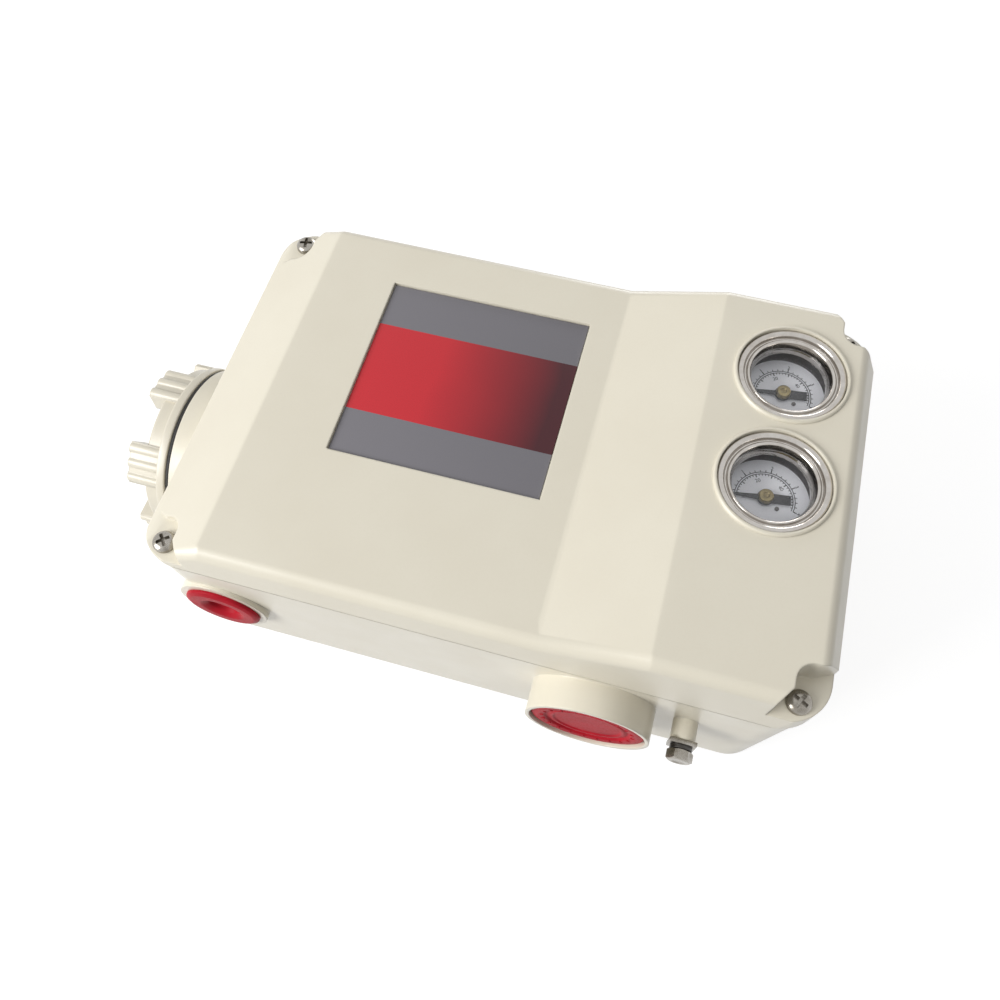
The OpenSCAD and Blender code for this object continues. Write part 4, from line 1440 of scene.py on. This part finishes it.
@dataclass
class CoverScrews:
    """The four pan-head screws of the cover, with cross recesses."""

    reach: Flat = (108.8, 69.0)
    seats: Flat = (83.5, 76.2)
    head_radius: float = 4.1
    head_height: float = 2.9
    shank_radius: float = 2.0
    shank_length: float = 22.0
    slot_width: float = 1.2
    slot_reach: float = 2.5
    slot_depth: float = 2.2
    turns: tuple[float, ...] = (28.0, 61.0, 12.0, 40.0)

    def _head(self) -> bpy.types.Object:
        """Makes one screw, its seat at the origin and its head up.

        Returns:
            The screw.
        """
        top, wide = self.head_height, self.head_radius
        corners = [
            (0, -self.shank_length, 0),
            (self.shank_radius, -self.shank_length, 0.4),
            (self.shank_radius, 0, 0.1),
            (wide, 0, 0.25),
            (wide, 0.6 * top, 1.1),
            (0.62 * wide, top, 1.2),
            (0, top, 0),
        ]
        bm = bmesh.new()
        Shop.turn(bm, Shop.rounded(corners, False, 6), Matrix.Identity(4), False, 48)
        screw = Shop.add(bm, "screw_shape")
        cutter = bmesh.new()
        slot = Shop.bar(-self.slot_reach, self.slot_reach, self.slot_width)
        for quarter in (0, 90):
            turn = Matrix.Rotation(math.radians(quarter), 4, "Z")
            lift = 0.001 * quarter
            Shop.prism(cutter, slot, top - self.slot_depth - lift, top + 1, turn)
        Shop.carve(screw, Shop.add(cutter, "recess_cutter"), "DIFFERENCE")
        return Shop.smooth(screw, 30.0)

    def build(self, kit: Kit) -> None:
        """Builds the screws and sets them on the cover's lugs.

        Args:
            kit: The shared kit.
        """
        x, y = self.reach
        right, left = self.seats
        spots = [(x, y, right), (x, -y, right), (-x, y, left), (-x, -y, left)]
        steel = kit.finishes.materials[Slot.STEEL]
        piece = kit.repeats.at_points("cover_fixings", self._head(), steel, spots, self.turns)
        kit.fit(piece, Slot.STEEL, "cover", "cover_screws")


@dataclass
class Gauges:
    """The two pressure gauges: bezels, dials with printed scales, and pointers."""

    centre_x: float = 88.5
    centres_y: Flat = (41.8, -1.8)
    dial_top: float = 84.1
    print_height: float = 0.06
    scale_radius: float = 10.0
    arc_offset: float = 0.35
    scale_start: float = 186.0
    scale_sweep: float = 200.0
    divisions: int = 4
    parts: int = 5
    inner_step: float = 69.0
    inner_parts: int = 10
    line_width: float = 0.24
    outer_numbers: Flat = (12.35, 1.9)
    inner_numbers: Flat = (7.2, 1.9)
    hub_radius: float = 2.5
    hub_foot: float = 1.9
    hub_rise: float = 3.1
    stop_at: Flat = (4.5, -2.9)
    stop_radius: float = 0.75
    stop_height: float = 0.5
    bezel: tuple[Corner, ...] = (
        (17.25, 88.5, 0),
        (18.6, 88.5, 0.2),
        (18.6, 95.6, 0.2),
        (18.95, 96.2, 0.3),
        (18.95, 97.6, 0.6),
        (17.8, 98.0, 0.7),
        (16.7, 97.5, 0.7),
        (16.3, 95.9, 0.4),
        (15.7, 95.9, 0.4),
        (15.2, 97.0, 0.5),
        (14.4, 96.7, 0.6),
        (13.5, 94.6, 0.6),
        (13.2, 93.4, 0.3),
        (13.2, 91.3, 0.1),
        (17.25, 91.3, 0),
    )

    def _at(self, y: float) -> Matrix:
        """Returns the matrix of a gauge's own frame."""
        return Facing.OUT.place((self.centre_x, y, 0))

    def build(self, kit: Kit) -> None:
        """Builds both gauges.

        Args:
            kit: The shared kit.
        """
        bezels = bmesh.new()
        foot = self.dial_top + self.hub_foot
        top = self.dial_top + self.hub_rise
        corners = [
            (0, foot, 0),
            (self.hub_radius, foot, 0.1),
            (self.hub_radius, top, 0.5),
            (1.1, top, 0.1),
            (0.8, top - 0.35, 0.1),
            (0, top - 0.35, 0),
        ]
        for y in self.centres_y:
            Shop.turn(bezels, Shop.rounded(self.bezel, True, 5), self._at(y), True, 128)
        ring = Shop.smooth(Shop.add(bezels, "chrome_bezels"), 50)
        kit.fit(ring, Slot.CHROME, "base", "gauge_bezels")
        for index, y in enumerate(self.centres_y, 1):
            node = f"pointer_{index}"
            body = f"gauge_{index}_pointer"
            blade = Shop.copy_of(kit.nodes[node], f"pointer_blade_{index}")
            kit.fit(Shop.soften(blade, 0.12, 24, 2), Slot.POINTER, body, node)
            hub = bmesh.new()
            Shop.turn(hub, Shop.rounded(corners, False, 4), self._at(y), False, 48)
            kit.fit(Shop.smooth(Shop.add(hub, f"pointer_hub_{index}")), Slot.BRASS, body)
            self._scale(kit, index, y)

    def _bar(self, length: float, width: float) -> bpy.types.Object:
        """Makes one tick, lying outwards along X from the origin.

        Args:
            length: Its length.
            width: Its width.

        Returns:
            The tick.
        """
        bm = bmesh.new()
        low = self.dial_top
        tick = Shop.bar(0, length, width)
        Shop.prism(bm, tick, low, low + self.print_height, Matrix.Identity(4))
        return Shop.add(bm, "tick_shape")

    def _scale(self, kit: Kit, index: int, y: float) -> None:
        """Builds one dial's arcs, ticks, numbers and stop pin.

        Args:
            kit: The shared kit.
            index: The gauge's number.
            y: The gauge's place along Y.
        """
        ink = kit.finishes.materials[Slot.POINTER]
        major = -self.scale_sweep / self.divisions
        fine = -self.inner_step / self.inner_parts
        outer = self.scale_radius + self.arc_offset
        inner = self.scale_radius - self.arc_offset
        thin, thick = self.line_width, 1.5 * self.line_width
        inner_count = int(self.scale_sweep / abs(fine)) + 1
        rows = (
            ("outer_major", self.divisions + 1, major, outer, 1.3, thick),
            ("outer_minor", self.divisions * self.parts + 1, major / self.parts, outer, 0.8, thin),
            ("inner_major", inner_count // 5 + 1, 5 * fine, inner - 1.15, 1.15, thick),
            ("inner_minor", inner_count, fine, inner - 0.65, 0.65, thin),
        )
        for name, count, step, radius, length, width in rows:
            tick = self._bar(length, width)
            spread = (count, radius, self.scale_start, step, (self.centre_x, y, 0))
            piece = kit.repeats.on_arc(f"scale_{index}_{name}", tick, ink, *spread)
            kit.fit(piece, Slot.POINTER, "base")
        kit.fit(self._arcs(f"scale_{index}_arcs", y, (inner, outer)), Slot.POINTER, "base")
        kit.fit(self._numbers(f"scale_{index}_numbers", y), Slot.POINTER, "base")
        stop = bmesh.new()
        low, high = self.dial_top, self.dial_top + self.stop_height
        wide = self.stop_radius
        corners = [(0, low, 0), (wide, low, 0), (wide, high, 0.2), (0, high, 0)]
        place = Facing.OUT.place((self.centre_x + self.stop_at[0], y + self.stop_at[1], 0))
        Shop.turn(stop, Shop.rounded(corners, False, 4), place, False, 24)
        kit.fit(Shop.smooth(Shop.add(stop, f"stop_pin_{index}")), Slot.SPRING, "base")

    def _arcs(
        self, name: str, y: float, radii: Sequence[float], width: float = 0.26, steps: int = 96
    ) -> bpy.types.Object:
        """Returns the printed arcs of one dial.

        Args:
            name: The object's name.
            y: The gauge's place along Y.
            radii: The radius of each arc.
            width: The width of the line.
            steps: The number of faces along an arc.

        Returns:
            The arcs as one object.
        """
        bm = bmesh.new()
        place = Matrix.Translation(Vector((self.centre_x, y, 0)) * MM)
        low, high = self.dial_top, self.dial_top + self.print_height
        for radius in radii:
            inner, outer = radius - width / 2, radius + width / 2
            section = ((inner, low), (outer, low), (outer, high), (inner, high))
            rows = []
            for step in range(steps + 1):
                angle = self.scale_start - self.scale_sweep * step / steps
                rows.append([Shop.polar(r, angle, z) for r, z in section])
            Shop.skin(bm, rows, place)
        return Shop.add(bm, name)

    def _numbers(self, name: str, y: float) -> bpy.types.Object:
        """Returns the plain numbers of one dial's two scales.

        Args:
            name: The object's name.
            y: The gauge's place along Y.

        Returns:
            The numbers as one object.
        """
        bm = bmesh.new()
        rows = (
            (self.outer_numbers, 1, self.scale_sweep / self.divisions, self.divisions + 1),
            (self.inner_numbers, 20, self.inner_step, 3),
        )
        for (radius, size), value, apart, count in rows:
            for k in range(count):
                curve = bpy.data.curves.new("numeral", "FONT")
                curve.body = str(value * k)
                curve.size = size * MM
                curve.align_x = "CENTER"
                curve.align_y = "CENTER"
                curve.extrude = self.print_height * MM / 2
                holder = bpy.data.objects.new("numeral", curve)
                bpy.context.scene.collection.objects.link(holder)
                depsgraph = bpy.context.evaluated_depsgraph_get()
                mesh = bpy.data.meshes.new_from_object(holder.evaluated_get(depsgraph))
                angle = self.scale_start - apart * k
                spot = Shop.polar(radius, angle, self.print_height / 2)
                spot = (spot + Vector((self.centre_x, y, self.dial_top))) * MM
                turn = Matrix.Rotation(math.radians(angle) - math.pi / 2, 4, "Z")
                mesh.transform(Matrix.Translation(spot) @ turn)
                bm.from_mesh(mesh)
                bpy.data.objects.remove(holder)
                bpy.data.curves.remove(curve)
                bpy.data.meshes.remove(mesh)
        bmesh.ops.remove_doubles(bm, verts=bm.verts, dist=1e-7)
        return Shop.add(bm, name)


@dataclass
class EntryPlugs:
    """The red plugs of the two cable entries."""

    small_at: Point = (-95.0, -76.0, 40.0)
    large_at: Point = (48.0, -82.3, 47.5)
    small: tuple[Corner, ...] = (
        (0, 2.0 - 3.2, 0),
        (5.6, 2.0 - 3.2, 0.5),
        (6.2, 0.4, 0.4),
        (7.4, 1.3, 0.5),
        (8.6, 1.9, 0.5),
        (12.6, 2.0, 0.5),
        (14.4, 1.2, 0.7),
        (14.4, 0, 0.2),
        (9.3, 0, 0.2),
        (9.3, -12, 0.3),
        (7.6, -12, 0.3),
        (7.6, -3.4, 0.3),
        (0, -3.4, 0),
    )
    large: tuple[Corner, ...] = (
        (0, 2.2, 0),
        (11.6, 2.2, 0.5),
        (12.2, 2.7, 0.2),
        (13.2, 2.7, 0.2),
        (14.0, 2.2, 0.3),
        (14.8, 2.2, 0.3),
        (15.4, 3.0, 0.4),
        (17.6, 3.4, 0.6),
        (20.1, 2.8, 0.6),
        (20.1, 1.7, 0.2),
        (19.2, 1.7, 0.1),
        (19.2, 0, 0.2),
        (15.0, 0, 0.2),
        (15.0, -12, 0.3),
        (12.7, -12, 0.3),
        (12.7, -2, 0.3),
        (0, -2, 0),
    )
    ridge_count: int = 20
    ridge_radius: float = 16.2
    ridge_length: float = 1.5
    ridge_width: float = 0.5
    ridge_heights: Flat = (2.7, 3.4)

    def build(self, kit: Kit) -> None:
        """Builds both plugs and the large plug's moulded ridges.

        Args:
            kit: The shared kit.
        """
        rows = (
            ("small_plug", self.small, self.small_at, "small_entry_plug"),
            ("large_plug", self.large, self.large_at, "large_entry_plug"),
        )
        for name, corners, spot, node in rows:
            bm = bmesh.new()
            Shop.turn(bm, Shop.rounded(corners, False, 5), Facing.NEAR.place(spot), False, 96)
            kit.fit(Shop.smooth(Shop.add(bm, name), 45), Slot.RED, "base", node)
        bm = bmesh.new()
        outline = Shop.bar(-self.ridge_length / 2, self.ridge_length / 2, self.ridge_width)
        Shop.prism(bm, outline, *self.ridge_heights, Matrix.Identity(4))
        ridge = Shop.soften(Shop.add(bm, "ridge_shape"), 0.14, 30, 2)
        red = kit.finishes.materials[Slot.RED]
        spread = (self.ridge_count, self.ridge_radius, 0, 360 / self.ridge_count)
        ridges = kit.repeats.on_arc("large_plug_ridges", ridge, red, *spread)
        ridges.data.transform(Facing.NEAR.place(self.large_at))
        kit.fit(Shop.smooth(ridges), Slot.RED, "base")


@dataclass
class EarthTerminal:
    """The outside earth terminal: clamp plate, spring washer and hexagon bolt."""

    axis: Flat = (81.0, 46.0)
    seat: float = -81.5
    clamp_thickness: float = 1.6
    washer_outer: float = 3.9
    washer_inner: float = 2.6
    washer_height: float = 1.6
    head_across: float = 7.97
    head_height: float = 3.8
    shank_radius: float = 2.5
    shank_end: float = -69.0

    def build(self, kit: Kit) -> None:
        """Builds the terminal's three pieces.

        Args:
            kit: The shared kit.
        """
        plate = Shop.soften(Shop.copy_of(kit.nodes["earth_clamp"], "clamp_plate"), 0.25)
        kit.fit(plate, Slot.STEEL, "base", "earth_clamp")
        kit.fit(self._washer(), Slot.SPRING, "base", "earth_spring_washer")
        kit.fit(self._bolt(), Slot.STEEL, "base", "earth_bolt")

    def _place(self) -> Matrix:
        """Returns the matrix of the terminal's own frame, with its seat at height 0."""
        return Facing.NEAR.place((self.axis[0], self.seat, self.axis[1]))

    def _bolt(self) -> bpy.types.Object:
        """Makes the bolt, turned and then cut to a hexagon.

        Returns:
            The bolt.
        """
        half = self.head_across / 2
        corner = half / math.cos(math.pi / 6)
        foot = self.seat - self.shank_end
        low = self.clamp_thickness + self.washer_height
        crown = low + self.head_height
        corners = [
            (0, foot, 0),
            (self.shank_radius, foot, 0.4),
            (self.shank_radius, low, 0),
            (half * 0.96, low, 0),
            (corner + 0.2, low + 0.5, 0.1),
            (corner + 0.2, crown - 0.75, 0.1),
            (half * 0.9, crown, 0.1),
            (half * 0.62, crown, 0.1),
            (half * 0.5, crown - 0.2, 0.1),
            (0, crown - 0.2, 0),
        ]
        bm = bmesh.new()
        Shop.turn(bm, Shop.rounded(corners, False, 3), self._place(), False, 72)
        bolt = Shop.add(bm, "earth_hex_bolt")
        keeper = bmesh.new()
        hexagon = [tuple(Shop.polar(corner, 60 * k).xy) for k in range(6)]
        Shop.prism(keeper, hexagon, foot - 1.5, crown + 1, self._place())
        Shop.carve(bolt, Shop.add(keeper, "hexagon_keeper"), "INTERSECT")
        return Shop.smooth(bolt, 25)

    def _washer(self, steps: int = 60, gap: float = 14.0) -> bpy.types.Object:
        """Returns the split spring washer, a square wire in most of one turn.

        Args:
            steps: The number of faces along the turn.
            gap: The gap of the split in degrees.

        Returns:
            The washer.
        """
        inner, outer = self.washer_inner, self.washer_outer
        wire = 0.8 * self.washer_height
        rows = []
        for step in range(steps + 1):
            share = step / steps
            angle = gap / 2 + (360 - gap) * share
            low = self.clamp_thickness + (self.washer_height - wire) * share
            section = ((inner, low), (outer, low), (outer, low + wire), (inner, low + wire))
            rows.append([Shop.polar(radius, angle, height) for radius, height in section])
        bm = bmesh.new()
        Shop.skin(bm, rows, self._place())
        return Shop.smooth(Shop.add(bm, "spring_washer"), 30)


@dataclass
class TappedHoles:
    """The cut threads in the air ports and the rear bolt holes."""

    ports: tuple[Point, ...] = ((116.0, 41.8, 30.0), (116.0, -1.8, 30.0))
    port_radius: float = 5.85
    port_depth: float = 11.0
    port_pitch: float = 1.34
    rear: Flat = (36.0, 48.0)
    rear_radius: float = 3.4
    rear_depth: float = 12.0
    rear_pitch: float = 1.25

    @staticmethod
    def _thread(
        bm: bmesh.types.BMesh, radius: float, depth: float, pitch: float, place: Matrix
    ) -> None:
        """Adds the ridges of one thread, a toothed sleeve just inside its hole.

        Args:
            bm: The mesh under construction.
            radius: The hole's radius.
            depth: The thread's depth.
            pitch: The distance between ridges.
            place: The matrix at the hole's mouth, with Z pointing out.
        """
        tooth = 0.5 * pitch
        root, wall = radius - 0.05, radius + 0.15
        mouth = -0.4
        profile = [(radius - 0.02, mouth)]
        for k in range(int(depth / pitch)):
            start = -0.6 - k * pitch
            profile.append((root, start))
            profile.append((radius - tooth, start - 0.45 * pitch))
            profile.append((radius - tooth, start - 0.55 * pitch))
        profile += [(root, -depth), (wall, -depth), (wall, mouth)]
        Shop.turn(bm, profile, place, True, 48)

    def build(self, kit: Kit) -> None:
        """Builds the threads of the ports and of the rear holes.

        Args:
            kit: The shared kit.
        """
        bm = bmesh.new()
        size = (self.port_radius, self.port_depth, self.port_pitch)
        for spot in self.ports:
            self._thread(bm, *size, Facing.RIGHT.place(spot))
        kit.fit(Shop.smooth(Shop.add(bm, "port_threads"), 25), Slot.ALUMINIUM, "base")
        bm = bmesh.new()
        size = (self.rear_radius, self.rear_depth, self.rear_pitch)
        for sign_x in (1, -1):
            for sign_y in (1, -1):
                spot = (sign_x * self.rear[0], sign_y * self.rear[1], 0)
                self._thread(bm, *size, Facing.BACK.place(spot))
        kit.fit(Shop.smooth(Shop.add(bm, "rear_threads"), 25), Slot.ALUMINIUM, "base")


@dataclass
class PilotSpring:
    """The return spring under the pilot valve's spool, built at its rest length; the real spring shortens
    as the spool slides.
    """

    seat_at: Point = (59.5, 20.0, 12.0)
    length: float = 7.0
    radius: float = 4.2
    wire_radius: float = 0.5
    turns: float = 4.0

    def build(self, kit: Kit) -> None:
        """Builds the spring and stretches it between the base and the spool.

        Args:
            kit: The shared kit.
        """
        x, y, low = self.seat_at
        foot, head = low + self.wire_radius, low + self.length - self.wire_radius
        steel = kit.finishes.materials[Slot.SPRING]
        size = (self.turns, self.radius, head - foot, self.wire_radius)
        piece = kit.repeats.wound("return_spring", steel, *size, (x, y, foot))
        kit.finishes.dress(Shop.smooth(piece, 60), Slot.SPRING)
        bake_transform(piece)
        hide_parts("pilot_spring")
        LOG.info("%s stretches from base to spool, %d faces", piece.name, len(piece.data.polygons))


@dataclass
class CarriedNodes:
    """The CAD nodes that keep their own shape and only get a finish."""

    finish: tuple[tuple[Slot, tuple[str, ...]], ...] = (
        (Slot.RUBBER, ("cover_gasket", "cap_o_ring", "spindle_seal", "large_plug_ring")),
        (Slot.LENS, ("gauge_lenses",)),
        (Slot.DIAL, ("gauge_dials",)),
        (Slot.RING, ("dial_rings",)),
        (Slot.BRASS, ("gauge_sockets", "bourdon_tubes", "movement_frames")),
        (Slot.BRASS, ("gauge_pinion_1", "gauge_pinion_2", "gauge_sector_1", "gauge_sector_2")),
        (Slot.BRASS, ("spindle_bushes", "converter_nozzle", "feedback_sector", "potentiometer_pinion")),
        (Slot.STEEL, ("feedback_spindle", "pilot_screws", "manifold_screws", "converter_screws")),
        (Slot.STEEL, ("board_screws", "terminal_screws", "inner_earth_screw")),
        (Slot.STEEL, ("converter_flapper", "pilot_spool", "converter_yoke")),
        (Slot.SPRING, ("spindle_clip",)),
        (Slot.ALUMINIUM, ("gauge_cases", "air_manifold", "pilot_body", "converter_body", "vent_plug")),
        (Slot.PLASTIC, ("terminal_block", "wire_feedthrough", "board_chips")),
        (Slot.COPPER, ("converter_coil",)),
        (Slot.BOARD, ("main_board",)),
        (Slot.CONNECTOR, ("board_connectors",)),
        (Slot.BLUE, ("potentiometer",)),
    )

    def build(self, kit: Kit) -> None:
        """Gives each carried node its finish.

        Args:
            kit: The shared kit.
        """
        for slot, names in self.finish:
            for name in names:
                kit.finishes.dress(kit.nodes[name], slot)
                LOG.info("%s keeps its shape, finish %s", name, slot.value)


@dataclass
class Studio:
    """The pale floor, the soft lights and the camera."""

    camera_at: Point = (41.55, -155.39, 361.26)
    azimuth: float = 17.49
    elevation: float = 63.93
    roll: float = -2.09
    lens: float = 32.156
    floor_size: float = 6000.0
    floor_tone: Colour = (0.3, 0.3, 0.3)
    floor_glow: float = 0.8
    floor_drop: float = 0.2
    ambient: Flat = (0.15, 0.7)
    ambient_side: float = 0.12
    key_power: float = 19.9
    key_at: Point = (-1036.0, -770.0, 760.0)
    key_size: float = 800.0
    fill_power: float = 3.6
    fill_at: Point = (60.0, 1250.0, 260.0)
    fill_size: float = 500.0
    aim_at: Point = (0.0, 0.0, 60.0)

    def build(self) -> None:
        """Builds the stage."""
        bpy.context.scene.view_settings.view_transform = "Standard"
        self._floor()
        self._world()
        self._lamp("key_light", self.key_at, self.key_size, self.key_power)
        self._lamp("fill_light", self.fill_at, self.fill_size, self.fill_power)
        self._camera()

    @staticmethod
    def _seen(tree: bpy.types.NodeTree) -> bpy.types.NodeSocket:
        """Finds the rays that show the background to the camera, in metal or through glass.

        Args:
            tree: The tree that gets the nodes.

        Returns:
            The socket that is 1 for those rays.
        """
        path = tree.nodes.new("ShaderNodeLightPath")
        total: bpy.types.NodeSocket = path.outputs["Is Camera Ray"]
        for name in ("Is Glossy Ray", "Is Transmission Ray"):
            most = tree.nodes.new("ShaderNodeMath")
            most.operation = "MAXIMUM"
            tree.links.new(total, most.inputs[0])
            tree.links.new(path.outputs[name], most.inputs[1])
            total = most.outputs[0]
        return total

    def _floor(self) -> None:
        """Builds the floor under the part's back."""
        bm = bmesh.new()
        bmesh.ops.create_grid(bm, x_segments=4, y_segments=4, size=self.floor_size * MM / 2)
        floor = Shop.add(bm, "studio_floor")
        floor.data.transform(Matrix.Translation((0, 0, -self.floor_drop * MM)))
        shade = Shade("pale_floor")
        faint = tuple(0.985 * value for value in self.floor_tone)
        shade.put("Base Color", shade.blend(shade.noise(60.0, 3.0), self.floor_tone, faint))
        shade.put("Roughness", 0.85)
        shade.put("Emission Color", (1.0, 1.0, 1.0))
        glow = shade.sums("MULTIPLY", self._seen(shade.tree), self.floor_glow)
        shade.put("Emission Strength", glow)
        floor.data.materials.append(shade.material)

    def _world(self) -> None:
        """Builds a white surround that lights the part at a plain level, more from the cap's side."""
        world = bpy.data.worlds.new("white_surround")
        world.use_nodes = True
        bpy.context.scene.world = world
        tree = world.node_tree
        place = tree.nodes.new("ShaderNodeTexCoord")
        axes = tree.nodes.new("ShaderNodeSeparateXYZ")
        tree.links.new(place.outputs["Generated"], axes.inputs[0])
        dome = tree.nodes.new("ShaderNodeMapRange")
        dome.inputs["To Min"].default_value = self.ambient[0]
        dome.inputs["To Max"].default_value = self.ambient[1]
        tree.links.new(axes.outputs["Z"], dome.inputs["Value"])
        sided = tree.nodes.new("ShaderNodeMath")
        sided.operation = "MULTIPLY_ADD"
        tree.links.new(axes.outputs["X"], sided.inputs[0])
        sided.inputs[1].default_value = -self.ambient_side
        tree.links.new(dome.outputs["Result"], sided.inputs[2])
        level = tree.nodes.new("ShaderNodeMapRange")
        tree.links.new(sided.outputs[0], level.inputs["To Min"])
        level.inputs["To Max"].default_value = 1.0
        tree.links.new(self._seen(tree), level.inputs["Value"])
        back = tree.nodes["Background"]
        back.inputs["Color"].default_value = (1.0, 1.0, 1.0, 1.0)
        tree.links.new(level.outputs["Result"], back.inputs["Strength"])

    def _lamp(self, name: str, spot: Sequence[float], size: float, power: float) -> None:
        """Adds a soft square lamp aimed at the part.

        Args:
            name: The lamp's name.
            spot: Its place in millimetres.
            size: The length of its side in millimetres.
            power: Its power in watts.
        """
        data = bpy.data.lights.new(name, "AREA")
        data.size = size * MM
        data.energy = power
        lamp = bpy.data.objects.new(name, data)
        lamp.location = Vector(spot) * MM
        aim = Vector(self.aim_at) * MM - lamp.location
        lamp.rotation_mode = "QUATERNION"
        lamp.rotation_quaternion = aim.to_track_quat("-Z", "Y")
        bpy.context.scene.collection.objects.link(lamp)

    def _camera(self) -> None:
        """Sets the camera at the photograph's viewing angle."""
        a, e, r = (math.radians(value) for value in (self.azimuth, self.elevation, self.roll))
        back = Vector((math.sin(a) * math.cos(e), -math.cos(a) * math.cos(e), math.sin(e)))
        right = Vector((math.cos(a), math.sin(a), 0))
        up = back.cross(right)
        turned_right = math.cos(r) * right + math.sin(r) * up
        turned_up = -math.sin(r) * right + math.cos(r) * up
        data = bpy.data.cameras.new("photo_camera")
        data.lens = self.lens
        data.sensor_width = 36.0
        data.sensor_fit = "HORIZONTAL"
        data.clip_start = 0.01
        data.clip_end = 50.0
        camera = bpy.data.objects.new("photo_camera", data)
        frame = Matrix((turned_right, turned_up, back)).transposed().to_4x4()
        camera.matrix_world = Matrix.Translation(Vector(self.camera_at) * MM) @ frame
        bpy.context.scene.collection.objects.link(camera)
        bpy.context.scene.camera = camera


def clear_scene() -> None:
    """Removes the start-up objects."""
    for obj in list(bpy.data.objects):
        bpy.data.objects.remove(obj)


def main() -> None:
    """Builds the sub-assemblies in order and reports each piece."""
    logging.basicConfig(level=logging.INFO, format="%(name)s: %(message)s")
    clear_scene()
    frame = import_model()
    kit = Kit(frame["nodes"], Finishes(), Repeats())
    Studio().build()
    assemblies = (
        Castings(),
        CrownCap(),
        Nameplate(),
        CoverScrews(),
        Gauges(),
        EntryPlugs(),
        EarthTerminal(),
        TappedHoles(),
        PilotSpring(),
        CarriedNodes(),
    )
    for assembly in assemblies:
        assembly.build(kit)


if __name__ == "__main__":
    main()
